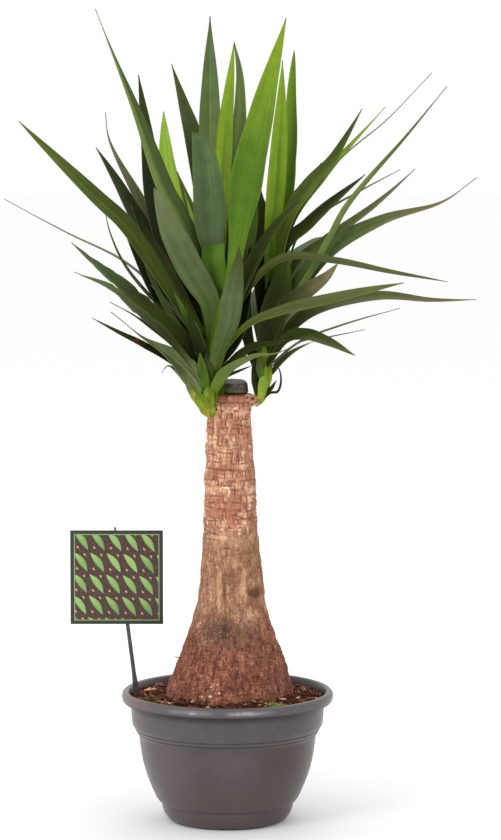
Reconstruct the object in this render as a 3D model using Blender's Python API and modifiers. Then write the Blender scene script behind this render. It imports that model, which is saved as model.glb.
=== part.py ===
"""Potted yucca: a stout trunk with two leafy heads, in a round nursery pot, with a card on a stake.

Lengths below are in millimetres; the model itself is in metres, +Z up, with its origin in the
middle of the pot's underside and the label's side at -X.
"""

import math
import random

import bmesh
import bpy
from mathutils import Quaternion, Vector

MM = 0.001
GAP = 0.35  # clearance that pieces keep where they meet

# Pot: outer side from the lip down to the foot, as radius and height
POT_HEIGHT = 148.5
POT_WALL = 2.6
POT_FLOOR = 4.6
LIP_OUTER = [(112.6, 147.4), (115.8, POT_HEIGHT), (119.2, 146.6), (120.4, 142.6), (118.4, 136.4)]
LIP_INNER = [(116.6, 137.0), (116.8, 142.6), (111.2, 142.0)]
COLLAR = [(110.2, 131.0), (108.8, 114.0), (107.0, 109.4), (102.4, 103.8)]
GROOVES = [(101.4, 102.4), (102.1, 101.2), (101.1, 100.0)]
BELLY = [(99.8, 88.0), (96.6, 68.0), (91.0, 49.0), (82.6, 29.0), (75.6, 13.6)]
FOOT = [
    (73.4, 4.6), (67.6, 0.6), (63.0, 0.0), (56.0, 0.0), (54.6, 2.0), (26.0, 2.0), (24.4, 0.0), (0.0, 0.0)
]
POT_STEPS = 32
NOTCHES = 6
NOTCH_SIZE = (11.0, 20.0, 2.4)
NOTCH_RADIUS = 64.0
DRAIN_RADIUS = 4.5
DRAIN_CIRCLE = 42.0

# Soil: its level at the pot's wall and at the trunk's foot
SOIL_EDGE = 140.5
SOIL_MOUND = 145.0
SOIL_BUMP = 1.6

# Trunk: height, mean radius and how far its middle lies to +X
TRUNK_SHAPE = [
    (84.0, 52.0, 1.5), (112.0, 70.0, 1.5), (139.0, 73.8, 1.5), (155.0, 69.0, 1.8), (185.0, 59.0, 4.0),
    (209.0, 50.6, 4.0), (225.0, 45.0, 4.6), (240.0, 40.4, 4.6), (256.0, 37.2, 4.6), (297.0, 33.0, 4.2),
    (333.0, 30.6, 3.6), (388.0, 28.8, 3.2), (420.0, 26.6, 2.6), (455.0, 25.0, 2.0), (478.0, 24.4, 2.0),
]
TRUNK_TOP = 488.0
TRUNK_SIDES = 32
TRUNK_RINGS = 24
FOOT_RIBS = 7
CALLUS = (0.15, 479.0, 4.6)  # turn in radians from +X, height, how far it stands out
WAX = [(0.0, 503.6), (9.0, 503.2), (13.6, 501.6), (16.4, 498.2), (17.2, 493.0), (16.8, TRUNK_TOP + GAP)]
WAX_MIDDLE = (7.0, 2.0)

# Shoots: the core that each head's leaves grow from, as a point on its axis and a radius
LEFT_CORE = [
    ((-17, -15, 462), 3.0), ((-20, -20, 472), 8.4), ((-21, -24, 488), 10.0), ((-19, -24, 510), 10.6),
    ((-15, -20, 545), 9.0), ((-11, -15, 580), 7.0), ((-9, -12, 612), 2.0),
]
RIGHT_CORE = [
    ((29, 4, 472), 4.0), ((36, 7, 480), 8.6), ((40, 8, 492), 9.6), ((41, 8, 515), 9.8),
    ((43, 9, 550), 8.6), ((46, 10, 590), 6.6), ((49, 10, 625), 2.0),
]
CORE_SIDES = 10

# Leaves. Where they are seen, in the plane y = 0, is what was read off the plant from this viewpoint
VIEWPOINT = (26.0, -4000.0, 900.0)
BLADE_THICKNESS = 0.9
BLADE_STATIONS = 2  # of each blade for every point that it passes through
BLADE_FOLD = 15  # degrees that each half of a blade rises from its midrib
ROOT_WIDTH = 0.42
TIP_WIDTH = 1.0
THREAD_WIDTH = 12.0  # blades up to this wide are flat
FAR_BACK = 145.0  # blades that reach deeper than this lie flat, upper face up

# Each leaf: height of its root on the core, widest width, tilt in degrees at root and at tip, where
# along it is widest, how slender its outer part is, and the points (x, depth, z) that it passes through.
# A tilt of 0 shows the upper face to the viewpoint, 90 its edge and 180 the underside.
LEFT_LEAVES = [
    (545, 34, (20, 70), 0.40, 1.9, [(-38, -32, 642), (-74, -44, 722), (-106, -50, 810), (-147, -46, 919)]),
    (540, 30, (40, 30), 0.50, 1.0, [(-58, 10, 620), (-81, 45, 700), (-89, 80, 770), (-99, 110, 846)]),
    (575, 24, (20, 10), 0.60, 0.9, [(-38, -4, 665), (-59, 8, 728), (-68, 20, 775), (-71, 30, 805)]),
    (580, 26, (20, 35), 0.55, 1.1, [(-23, 15, 690), (-38, 60, 775), (-49, 100, 815), (-62, 130, 858)]),
    (535, 38, (10, 0), 0.62, 0.30, [(-16, -38, 620), (-21, -58, 690), (-27, -80, 783)]),
    (585, 26, (0, 0), 0.60, 1.1, [(-17, 10, 700), (-19, 30, 800), (-19, 50, 911)]),
    (590, 20, (10, 10), 0.55, 1.0, [(-7, 0, 700), (-3, 8, 770), (2, 12, 825), (8, 14, 882)]),
    (585, 22, (40, 40), 0.60, 1.0, [(4, 20, 700), (14, 40, 780), (15, 55, 840), (8, 66, 882)]),
    (548, 38, (-5, 25), 0.50, 1.0, [(0, -28, 640), (17, -45, 712), (36, -58, 792), (66, -66, 909)]),
    (480, 32, (170, 150), 0.45, 0.9, [(-17, -37, 520), (-6, -72, 570), (6, -125, 620), (14, -185, 656)]),
    (540, 33, (60, 48), 0.50, 1.0, [(-45, -40, 603), (-90, -78, 659), (-151, -118, 712), (-233, -160, 794)]),
    (545, 26, (50, 55), 0.50, 1.0, [(-60, 10, 620), (-95, 40, 675), (-120, 60, 720), (-147, 80, 765)]),
    (550, 22, (50, 84), 0.36, 1.5,
     [(-60, 30, 625), (-97, 70, 702), (-121, 105, 748), (-133, 126, 777), (-136, 140, 804)]),
    (505, 30, (120, 125), 0.60, 1.2,
     [(-60, -60, 560), (-112, -100, 607), (-144, -120, 634), (-175, -135, 658)]),
    (500, 24, (60, 70), 0.50, 1.5, [(-62, -35, 549), (-95, -52, 577), (-130, -66, 606), (-172, -78, 625)]),
    (496, 16, (60, 85), 0.35, 2.0, [(-55, -85, 537), (-88, -115, 563), (-108, -130, 578), (-132, -145, 591)]),
    (486, 17, (60, 65), 0.55, 1.2, [(-60, -50, 522), (-95, -75, 543), (-120, -90, 556), (-152, -105, 573)]),
    (476, 29, (10, 95), 0.34, 1.8, [(-39, -44, 503), (-68, -60, 532), (-98, -76, 553), (-131, -90, 580)]),
    (474, 8, (60, 60), 0.40, 1.4, [(-40, -36, 494), (-58, -48, 513), (-67, -54, 519), (-74, -58, 511)]),
    (530, 9, (70, 70), 0.40, 1.4, [(-75, -5, 585), (-112, 0, 628), (-130, 4, 665), (-139, 6, 702)]),
    (535, 10, (80, 80), 0.30, 1.8, [(-80, 10, 605), (-122, 30, 641), (-180, 55, 669), (-250, 80, 707)]),
    (525, 30, (50, 55), 0.50, 1.0, [(-50, 0, 558), (-82, 10, 608), (-100, 15, 645), (-120, 20, 685)]),
    (520, 27, (78, 50), 0.55, 1.1, [(20, -62, 562), (60, -92, 581), (120, -132, 595), (199, -176, 613)]),
    (540, 24, (60, 76), 0.32, 1.7,
     [(25, -42, 607), (65, -68, 641), (121, -96, 638), (184, -128, 625), (248, -156, 614)]),
    (490, 26, (130, 110), 0.35, 1.8, [(0, -55, 512), (28, -78, 529), (55, -98, 533), (85, -115, 547)]),
    (505, 17, (60, 60), 0.45, 1.2, [(8, -40, 531), (30, -62, 540), (50, -78, 544), (70, -90, 550)]),
    (540, 26, (50, 50), 0.50, 1.0, [(-42, -20, 575), (-62, -28, 612), (-85, -30, 655), (-108, -30, 700)]),
    (535, 26, (60, 60), 0.50, 1.0, [(14, -34, 594), (34, -36, 634), (55, -38, 664), (80, -36, 692)]),
    (560, 24, (20, 20), 0.55, 1.0, [(8, -12, 620), (24, -16, 668), (34, -20, 716)]),
    (500, 26, (40, 40), 0.50, 1.0, [(-36, -50, 540), (-50, -70, 580), (-62, -82, 616)]),
    (585, 28, (0, 0), 0.55, 1.0, [(-17, 40, 690), (-20, 84, 780), (-19, 120, 852)]),
    (575, 30, (0, 0), 0.50, 1.1, [(3, 60, 668), (8, 130, 742), (9, 190, 796)]),
    (565, 32, (0, 0), 0.45, 1.0, [(-40, 60, 645), (-65, 120, 706), (-83, 165, 742)]),
    (560, 34, (0, 0), 0.50, 0.9, [(-22, 90, 640), (-34, 165, 686), (-42, 222, 698)]),
    (555, 30, (0, 0), 0.50, 1.2, [(10, 85, 620), (25, 150, 660), (34, 205, 684)]),
    (545, 30, (0, 0), 0.45, 1.1, [(-60, 64, 606), (-96, 124, 652), (-114, 176, 672)]),
    (535, 33, (0, 0), 0.50, 0.9, [(-46, 90, 576), (-74, 160, 600), (-94, 212, 592)]),
    (528, 30, (0, 0), 0.50, 1.3, [(-4, 90, 580), (2, 180, 606), (5, 246, 592)]),
    (512, 30, (0, 0), 0.45, 1.0, [(-32, 70, 533), (-46, 130, 541), (-60, 178, 530)]),
    (500, 26, (0, 0), 0.50, 1.2, [(-14, 76, 520), (-8, 140, 524), (-4, 192, 506)]),
]
RIGHT_LEAVES = [
    (590, 15, (10, 10), 0.60, 0.7, [(62, 16, 680), (71, 30, 760), (72, 45, 820), (75, 55, 873)]),
    (595, 21, (10, 10), 0.50, 1.0, [(50, 4, 665), (56, 8, 730), (60, 12, 800), (62, 14, 862)]),
    (575, 30, (50, 55), 0.50, 1.1, [(66, -6, 678), (95, -14, 724), (122, -22, 756), (151, -30, 808)]),
    (580, 20, (60, 70), 0.50, 1.5, [(72, 22, 680), (110, 45, 733), (148, 65, 778), (177, 80, 810)]),
    (575, 9, (80, 80), 0.30, 1.8, [(80, 45, 700), (130, 80, 755), (180, 115, 797), (229, 140, 848)]),
    (570, 24, (60, 60), 0.55, 1.0, [(62, 18, 655), (90, 34, 698), (122, 52, 742)]),
    (560, 26, (60, 60), 0.55, 1.1, [(62, 2, 647), (92, 6, 679), (125, 10, 709), (155, 14, 735)]),
    (545, 22, (50, 72), 0.38, 1.5,
     [(70, -24, 588), (100, -38, 638), (140, -58, 710), (200, -88, 777), (246, -110, 833)]),
    (555, 9, (80, 80), 0.30, 1.6, [(100, 20, 680), (145, 32, 714), (194, 42, 740)]),
    (550, 25, (60, 64), 0.50, 1.3, [(75, -4, 630), (112, -10, 661), (162, -15, 697), (211, -20, 741)]),
    (535, 34, (50, 70), 0.40, 1.3,
     [(75, -30, 600), (118, -54, 652), (175, -80, 683), (238, -108, 702), (281, -130, 731)]),
    (535, 30, (35, 35), 0.62, 0.8, [(62, -50, 580), (90, -76, 603), (110, -92, 618), (124, -100, 634)]),
    (520, 30, (50, 74), 0.30, 1.5,
     [(75, 20, 565), (110, 30, 587), (170, 48, 598), (228, 62, 593), (281, 75, 594)]),
    (525, 34, (160, 160), 0.50, 1.0, [(54, -50, 580), (62, -100, 618), (70, -150, 655)]),
    (550, 28, (20, 20), 0.55, 1.0, [(40, 20, 640), (38, 30, 680), (39, 40, 718)]),
    (515, 20, (60, 50), 0.60, 1.0, [(66, -40, 549), (90, -58, 554), (115, -72, 545), (144, -85, 531)]),
    (515, 8, (80, 80), 0.30, 1.4, [(80, 30, 545), (125, 45, 564), (194, 65, 584)]),
    (510, 7, (80, 80), 0.30, 1.4, [(80, 40, 545), (112, 50, 551), (155, 60, 560)]),
    (500, 10, (60, 60), 0.40, 1.4, [(58, -8, 521), (75, -16, 536), (98, -22, 547)]),
    (486, 4, (60, 60), 0.40, 0.6, [(56, 0, 489), (59.5, -2, 503), (58, -3, 518)]),
    (505, 26, (40, 40), 0.50, 1.0, [(33, 6, 560), (24, 8, 600), (18, 10, 645)]),
    (590, 26, (0, 0), 0.55, 1.0, [(60, 44, 690), (67, 84, 765), (70, 116, 820)]),
    (580, 28, (0, 0), 0.50, 1.1, [(76, 60, 678), (99, 112, 721), (112, 150, 738)]),
    (575, 30, (0, 0), 0.45, 1.0, [(42, 70, 646), (38, 140, 694), (35, 190, 716)]),
    (565, 30, (0, 0), 0.50, 0.9, [(76, 66, 632), (102, 128, 658), (122, 176, 664)]),
    (560, 30, (0, 0), 0.50, 1.2, [(54, 90, 612), (62, 172, 646), (66, 236, 652)]),
    (545, 30, (0, 0), 0.45, 1.0, [(76, 76, 574), (98, 140, 590), (114, 192, 584)]),
    (535, 32, (0, 0), 0.50, 1.1, [(41, 70, 574), (39, 132, 602), (37, 182, 612)]),
    (525, 28, (0, 0), 0.50, 0.9, [(58, 90, 556), (70, 164, 570), (80, 222, 560)]),
    (510, 26, (0, 0), 0.50, 1.2, [(44, 66, 528), (46, 124, 538), (48, 170, 528)]),
]

# Label: a square card in front of a leaning stake
CARD_MIDDLE = (-126.0, 8.0, 277.5)
CARD_SIZE = (105.5, 0.9, 106.0)
STAKE_TOP = (-128.0, 334.0)
STAKE_FOOT = (-99.8, 109.0)
STAKE_WIDTH = 4.6
STAKE_DEPTH = 3.0
STAKE_POINT = 18.0
HOOK_HEIGHT = 2.2

COLOURS = {
    "pot_plastic": ((0.125, 0.115, 0.112), 0.5),
    "soil": ((0.035, 0.018, 0.010), 0.95),
    "bark": ((0.330, 0.165, 0.085), 0.9),
    "sealing_wax": ((0.025, 0.026, 0.028), 0.45),
    "leaf": ((0.060, 0.130, 0.022), 0.42),
    "card": ((0.045, 0.060, 0.020), 0.4),
    "stake_plastic": ((0.030, 0.030, 0.028), 0.5),
}


def clear_scene():
    for item in list(bpy.data.objects):
        bpy.data.objects.remove(item, do_unlink=True)


def new_collection(name):
    collection = bpy.data.collections.new(name)
    bpy.context.scene.collection.children.link(collection)
    return collection


def new_material(name):
    colour, roughness = COLOURS[name]
    material = bpy.data.materials.new(name)
    material.use_nodes = True
    shader = material.node_tree.nodes["Principled BSDF"]
    shader.inputs["Base Color"].default_value = (*colour, 1.0)
    shader.inputs["Roughness"].default_value = roughness
    shader.inputs["Metallic"].default_value = 0.0
    return material


def new_object(name, mesh, collection):
    thing = bpy.data.objects.new(name, mesh)
    collection.objects.link(thing)
    return thing


def object_from_bmesh(name, shape, collection):
    mesh = bpy.data.meshes.new(name)
    shape.to_mesh(mesh)
    shape.free()
    return new_object(name, mesh, collection)


def as_cutter(thing):
    thing.hide_render = True
    thing.display_type = "WIRE"
    return thing


def bake(thing):
    """Apply all modifiers of an object."""
    graph = bpy.context.evaluated_depsgraph_get()
    mesh = bpy.data.meshes.new_from_object(thing.evaluated_get(graph))
    thing.modifiers.clear()
    thing.data = mesh
    return thing


def finish(thing, material, angle=35):
    bake(thing)
    thing.data.materials.clear()
    thing.data.materials.append(material)
    thing.data.shade_smooth()
    thing.data.set_sharp_from_angle(angle=math.radians(angle))


def turned(name, profile, steps, collection):
    """A body turned about +Z from a profile in millimetres that runs down its outer side."""
    shape = bmesh.new()
    corners = [shape.verts.new((radius * MM, 0, height * MM)) for radius, height in profile]
    for start, end in zip(corners, corners[1:]):
        shape.edges.new((start, end))
    thing = object_from_bmesh(name, shape, collection)
    screw = thing.modifiers.new("turn", "SCREW")
    screw.steps = screw.render_steps = steps
    screw.use_merge_vertices = True
    screw.merge_threshold = 0.00001
    return bake(thing)


def reshape(thing, moved):
    """Send every vertex of an object, in millimetres, through a function."""
    for vertex in thing.data.vertices:
        vertex.co = moved(vertex.co / MM) * MM
    return thing


def cut(thing, cutter, solver="EXACT"):
    boolean = thing.modifiers.new("cut", "BOOLEAN")
    boolean.operation = "DIFFERENCE"
    boolean.solver = solver
    boolean.object = cutter
    return bake(thing)


def join_all(thing, collection, solver="EXACT"):
    """Unite an object with everything in a collection, which is then emptied."""
    boolean = thing.modifiers.new("join", "BOOLEAN")
    boolean.operation = "UNION"
    boolean.solver = solver
    boolean.operand_type = "COLLECTION"
    boolean.collection = collection
    bake(thing)
    for item in list(collection.objects):
        bpy.data.objects.remove(item, do_unlink=True)
    return thing


def keep_largest(thing):
    """Remove the tiny closed pockets that crowded roots leave inside an object."""
    shape = bmesh.new()
    shape.from_mesh(thing.data)
    left = set(shape.verts)
    bodies = []
    while left:
        reached = [left.pop()]
        for vertex in reached:
            fresh = {edge.other_vert(vertex) for edge in vertex.link_edges} & left
            left -= fresh
            reached.extend(fresh)
        bodies.append(reached)
    bodies.sort(key=len)
    small = [vertex for body in bodies[:-1] for vertex in body]
    bmesh.ops.delete(shape, geom=small, context="VERTS")
    shape.to_mesh(thing.data)
    shape.free()


def between(rows, height, column):
    """Value of a column at a height, on straight lines between the rows of a table."""
    if height <= rows[0][0]:
        return rows[0][column]
    for low, high in zip(rows, rows[1:]):
        if height <= high[0]:
            share = (height - low[0]) / (high[0] - low[0])
            return low[column] + share * (high[column] - low[column])
    return rows[-1][column]


def pot_outer():
    return LIP_OUTER + LIP_INNER + COLLAR + GROOVES + BELLY


def pot_inner():
    """The wall's inside, from the collar down to the floor's corner."""
    side = [(radius - POT_WALL, height) for radius, height in COLLAR + BELLY]
    return side + [(68.6, POT_FLOOR + 1.4), (66.0, POT_FLOOR)]


def build_pot(collection, cutters):
    inside = [(0.0, POT_FLOOR)] + list(reversed(pot_inner()))
    pot = turned("pot", inside + pot_outer() + FOOT, POT_STEPS, collection)
    for index in range(NOTCHES):
        turn = index * math.tau / NOTCHES - math.pi / 2
        notch = bmesh.new()
        bmesh.ops.create_cube(notch, size=1.0)
        bmesh.ops.scale(notch, verts=notch.verts, vec=Vector(NOTCH_SIZE) * MM)
        cutter = as_cutter(object_from_bmesh("notch_cutter", notch, cutters))
        cutter.location = (NOTCH_RADIUS * MM * math.cos(turn), NOTCH_RADIUS * MM * math.sin(turn), 0)
        cutter.rotation_euler.z = turn - math.pi / 2
        hole = bmesh.new()
        bmesh.ops.create_cone(
            hole, cap_ends=True, segments=10, radius1=DRAIN_RADIUS * MM, radius2=DRAIN_RADIUS * MM,
            depth=20 * MM
        )
        drain = as_cutter(object_from_bmesh("drain_cutter", hole, cutters))
        half = turn + math.pi / NOTCHES
        drain.location = (DRAIN_CIRCLE * MM * math.cos(half), DRAIN_CIRCLE * MM * math.sin(half), 0)
        bpy.context.view_layer.update()
        cut(pot, cutter)
        cut(pot, drain)
    return pot


def trunk_surface(point):
    """Move a point of a plain cylinder of radius 1 to the bark's surface."""
    height = point.z
    turn = math.atan2(point.y, point.x)
    radius = between(TRUNK_SHAPE, height, 1)
    flare = max(0.0, min(1.0, (235.0 - height) / 90.0))
    radius *= 1 + 0.035 * flare * math.sin(FOOT_RIBS * turn + 1.1) + 0.02 * flare * math.sin(3 * turn + 0.4)
    radius += 0.5 * math.sin(height / 3.7) * math.sin(2 * turn + height / 31)
    radius += 0.45 * math.sin(11 * turn + 2.2 * math.sin(height / 19))
    side = math.atan2(math.sin(turn - CALLUS[0]), math.cos(turn - CALLUS[0])) * radius
    radius += CALLUS[2] * math.exp(-(side / 9) ** 2 - ((height - CALLUS[1]) / 7) ** 2)
    share = math.hypot(point.x, point.y)
    middle = between(TRUNK_SHAPE, height, 2)
    return Vector((middle + share * radius * math.cos(turn), share * radius * math.sin(turn), height))


def trunk_profile(bottom, top, rings):
    """Profile of the plain cylinder, with its top edge worn round."""
    step = (top - 3 - bottom) / rings
    side = [(1.0, top - 3 - index * step) for index in range(rings + 1)]
    return [(0.0, top), (0.86, top), (0.95, top - 1.0)] + side + [(0.0, bottom)]


def build_trunk(collection, cores):
    trunk = turned("trunk", trunk_profile(TRUNK_SHAPE[0][0], TRUNK_TOP, TRUNK_RINGS), TRUNK_SIDES, collection)
    reshape(trunk, trunk_surface)
    for core in cores:
        cut(trunk, core)
    return trunk


def build_soil(collection, cutters):
    side = [(radius - GAP, height) for radius, height in pot_inner()]
    top = [
        (102.0, SOIL_EDGE + 1), (95.0, SOIL_EDGE + 2.5), (86.0, SOIL_MOUND - 1), (76.0, SOIL_MOUND),
        (60.0, SOIL_MOUND)
    ]
    edge = [(side[0][0], SOIL_EDGE)]
    below = [point for point in side if point[1] < SOIL_EDGE - 1]
    floor = [(side[-1][0], POT_FLOOR + GAP), (0.0, POT_FLOOR + GAP)]
    profile = [(0.0, SOIL_MOUND)] + list(reversed(top)) + edge + below[:-1] + floor
    soil = turned("soil", profile, POT_STEPS, collection)
    draw = random.Random(7)
    bumps = [(draw.uniform(0, math.tau), draw.uniform(70, 100), draw.uniform(-1, 1)) for _ in range(60)]

    def roughened(point):
        if point.z < SOIL_EDGE - 1 or math.hypot(point.x, point.y) > 104:
            return point
        lift = 0.0
        for turn, radius, size in bumps:
            near = (point.x - radius * math.cos(turn)) ** 2 + (point.y - radius * math.sin(turn)) ** 2
            lift += size * SOIL_BUMP * math.exp(-near / 90.0)
        return Vector((point.x, point.y, point.z + lift))

    reshape(soil, roughened)
    socket = turned("trunk_socket", trunk_profile(TRUNK_SHAPE[0][0] - GAP, 200, 14), TRUNK_SIDES, cutters)

    def widened(point):
        moved = trunk_surface(point)
        middle = Vector((between(TRUNK_SHAPE, point.z, 2), 0, 0))
        outward = Vector((moved.x - middle.x, moved.y, 0))
        if outward.length < 1:
            return moved
        return moved + outward.normalized() * GAP * 3

    as_cutter(reshape(socket, widened))
    cut(soil, socket)
    slot = as_cutter(build_stake_body("stake_slot", cutters, GAP))
    cut(soil, slot)
    return soil


def build_wax_cap(collection):
    cap = turned("wax_cap", WAX + [(0.0, TRUNK_TOP + GAP)], 20, collection)
    offset = Vector((*WAX_MIDDLE, 0))
    return reshape(cap, lambda point: point + offset)


def smooth_path(points, stations):
    """Evenly spaced points on a smooth curve through the given ones."""
    ends = [points[0] * 2 - points[1], *points, points[-1] * 2 - points[-2]]
    fine = []
    pieces = 14
    for index in range(len(points) - 1):
        before, start, end, after = ends[index:index + 4]
        for step in range(pieces):
            t = step / pieces
            fine.append(
                0.5 * (2 * start + (end - before) * t + (2 * before - 5 * start + 4 * end - after) * t * t
                       + (3 * start - before - 3 * end + after) * t ** 3)
            )
    fine.append(points[-1])
    run = [0.0]
    for start, end in zip(fine, fine[1:]):
        run.append(run[-1] + (end - start).length)
    even = []
    place = 0
    for index in range(stations + 1):
        target = run[-1] * index / stations
        while place < len(run) - 2 and run[place + 1] < target:
            place += 1
        share = (target - run[place]) / (run[place + 1] - run[place])
        even.append(fine[place].lerp(fine[place + 1], share))
    return even


def seen_at(point):
    """The point at its depth that is seen, from the viewpoint, at (x, z) of the plane y = 0."""
    eye = Vector(VIEWPOINT)
    sight = Vector((point[0], 0, point[2])) - eye
    return eye + sight * (1 - point[1] / eye.y)


def core_point(core, height):
    """Point and radius of a shoot's core at a height."""
    rows = [(point[2], *point[:2], radius) for point, radius in core]
    return Vector((between(rows, height, 1), between(rows, height, 2), height)), between(rows, height, 3)


def blade_width(along, widest, slender):
    """Share of the widest width at a share of the length."""
    if along < widest:
        rise = math.sin(along / widest * math.pi / 2) ** 1.4
        return ROOT_WIDTH + (1 - ROOT_WIDTH) * rise
    return max(1 - ((along - widest) / (1 - widest)) ** 1.7, 0.0) ** slender


def build_leaf(core, row, collection):
    """A leaf: a strip of a grid, laid along a path, folded at its midrib and given its thickness."""
    root_height, width, tilts, widest, slender, seen = row
    root, radius = core_point(core, root_height)
    rest = [seen_at(point) for point in seen]
    lean = rest[0] - root
    lean.z = 0
    stations = BLADE_STATIONS * len(seen)
    path = smooth_path([root + lean.normalized() * radius * 0.35, *rest], stations)
    facing = Vector((0, -0.3, 1)) if rest[-1].y > FAR_BACK else Vector((0, -1, 0))
    turn = 1 if rest[-1].x < root.x else -1
    fold = math.radians(BLADE_FOLD)
    shape = bmesh.new()
    strips = 2 if width > THREAD_WIDTH else 1
    bmesh.ops.create_grid(shape, x_segments=strips, y_segments=stations, size=0.5)
    for vertex in shape.verts:
        across = vertex.co.x * 2
        along = vertex.co.y + 0.5
        station = round(along * stations)
        ahead = path[min(station + 1, stations)] - path[max(station - 1, 0)]
        ahead.normalize()
        normal = (facing - ahead * facing.dot(ahead)).normalized()
        tilt = turn * (tilts[0] + (tilts[1] - tilts[0]) * along)
        normal.rotate(Quaternion(ahead, math.radians(tilt)))
        side = ahead.cross(normal)
        half = max(width * blade_width(along, widest, slender), TIP_WIDTH) / 2
        rise = (abs(across) - 0.5) * math.sin(fold)
        vertex.co = (path[station] + (side * across * math.cos(fold) + normal * rise) * half) * MM
    bmesh.ops.triangulate(shape, faces=shape.faces)
    blade = object_from_bmesh("blade", shape, collection)
    thick = blade.modifiers.new("thickness", "SOLIDIFY")
    thick.thickness = BLADE_THICKNESS * MM
    thick.offset = 0
    return blade


def build_core(name, core, collection, grown=0.0):
    """The shoot's bent, tapering core, grown by a clearance where it serves as a cutter."""
    rows = [(point[2], *point[:2], radius + grown) for point, radius in core]
    low = rows[0][0] - grown
    high = rows[-1][0] + grown
    heights = [high] + [row[0] for row in reversed(rows[1:-1])] + [low]
    profile = [(0.0, high)] + [(1.0, height) for height in heights] + [(0.0, low)]

    def placed(point):
        radius = between(rows, point.z, 3)
        x = between(rows, point.z, 1) + point.x * radius
        y = between(rows, point.z, 2) + point.y * radius
        return Vector((x, y, point.z))

    return reshape(turned(name, profile, CORE_SIDES, collection), placed)


def build_head(name, core, leaves, collection):
    head = build_core(name, core, collection)
    blades = new_collection(name + "_blades")
    for row in leaves:
        build_leaf(core, row, blades)
    join_all(head, blades)
    bpy.data.collections.remove(blades)
    keep_largest(head)
    return head


def build_card(collection):
    shape = bmesh.new()
    bmesh.ops.create_cube(shape, size=1.0)
    bmesh.ops.scale(shape, verts=shape.verts, vec=Vector(CARD_SIZE) * MM)
    bmesh.ops.translate(shape, verts=shape.verts, vec=Vector(CARD_MIDDLE) * MM)
    return object_from_bmesh("label_card", shape, collection)


def build_stake_body(name, collection, grown=0.0):
    """The leaning stake, pointed at its foot."""
    shape = bmesh.new()
    bmesh.ops.create_cube(shape, size=1.0)
    front = CARD_MIDDLE[1] + CARD_SIZE[1] / 2 + GAP
    low, high = STAKE_FOOT[1] - grown, STAKE_TOP[1]
    lean = (STAKE_TOP[0] - STAKE_FOOT[0]) / (STAKE_TOP[1] - STAKE_FOOT[1])
    bmesh.ops.bisect_plane(
        shape, geom=shape.verts[:] + shape.edges[:] + shape.faces[:], dist=1e-6,
        plane_co=(0, 0, STAKE_POINT / (high - low) - 0.5), plane_no=(0, 0, 1)
    )
    for vertex in shape.verts:
        height = low + (vertex.co.z + 0.5) * (high - low)
        narrow = 0.25 if vertex.co.z < -0.49 else 1.0
        x = STAKE_FOOT[0] + lean * (height - STAKE_FOOT[1]) + vertex.co.x * (STAKE_WIDTH * narrow + 2 * grown)
        y = front + (vertex.co.y + 0.5) * STAKE_DEPTH + 2 * grown * vertex.co.y
        vertex.co = Vector((x, y, height)) * MM
    return object_from_bmesh(name, shape, collection)


def build_stake(collection):
    stake = build_stake_body("label_stake", collection)
    hooks = new_collection("hooks")
    shape = bmesh.new()
    bmesh.ops.create_cube(shape, size=1.0)
    bottom = CARD_MIDDLE[2] + CARD_SIZE[2] / 2 + GAP
    back = CARD_MIDDLE[1] + CARD_SIZE[1] / 2 + GAP + STAKE_DEPTH * 0.6
    front = CARD_MIDDLE[1] - CARD_SIZE[1] / 2 - 1.2
    for vertex in shape.verts:
        x = STAKE_TOP[0] + vertex.co.x * STAKE_WIDTH * 0.7
        y = front + (vertex.co.y + 0.5) * (back - front)
        vertex.co = Vector((x, y, bottom + (vertex.co.z + 0.5) * HOOK_HEIGHT)) * MM
    object_from_bmesh("hook", shape, hooks)
    join_all(stake, hooks)
    bpy.data.collections.remove(hooks)
    return stake


def build():
    clear_scene()
    plant = new_collection("potted_yucca")
    cutters = new_collection("cutters")
    left_socket = as_cutter(build_core("left_socket", LEFT_CORE, cutters, GAP))
    right_socket = as_cutter(build_core("right_socket", RIGHT_CORE, cutters, GAP))
    pieces = {
        "pot_plastic": [build_pot(plant, cutters)],
        "soil": [build_soil(plant, cutters)],
        "bark": [build_trunk(plant, (left_socket, right_socket))],
        "sealing_wax": [build_wax_cap(plant)],
        "leaf": [
            build_head("left_head", LEFT_CORE, LEFT_LEAVES, plant),
            build_head("right_head", RIGHT_CORE, RIGHT_LEAVES, plant),
        ],
        "card": [build_card(plant)],
        "stake_plastic": [build_stake(plant)],
    }
    for name, things in pieces.items():
        material = new_material(name)
        for thing in things:
            finish(thing, material)


build()
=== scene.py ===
import math
import random

import bpy
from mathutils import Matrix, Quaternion, Vector, noise


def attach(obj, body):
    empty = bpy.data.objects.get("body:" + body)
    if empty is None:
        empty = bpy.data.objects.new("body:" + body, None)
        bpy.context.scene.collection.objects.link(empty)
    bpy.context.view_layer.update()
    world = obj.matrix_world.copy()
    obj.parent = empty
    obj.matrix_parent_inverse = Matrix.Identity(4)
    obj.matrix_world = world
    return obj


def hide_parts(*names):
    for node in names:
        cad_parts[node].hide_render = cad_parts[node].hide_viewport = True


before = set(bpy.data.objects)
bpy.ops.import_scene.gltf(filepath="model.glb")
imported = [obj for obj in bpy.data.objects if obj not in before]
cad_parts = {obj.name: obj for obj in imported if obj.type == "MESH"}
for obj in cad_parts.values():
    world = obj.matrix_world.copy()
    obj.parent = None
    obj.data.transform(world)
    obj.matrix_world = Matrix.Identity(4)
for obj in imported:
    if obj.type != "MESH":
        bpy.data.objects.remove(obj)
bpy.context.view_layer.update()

mm = 0.001
noise.seed_set(4)  # noise_vector starts from this, and from the clock without it
print("frame loaded:", ", ".join(sorted(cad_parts)))


# helpers for picking, copying and finishing objects

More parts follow.
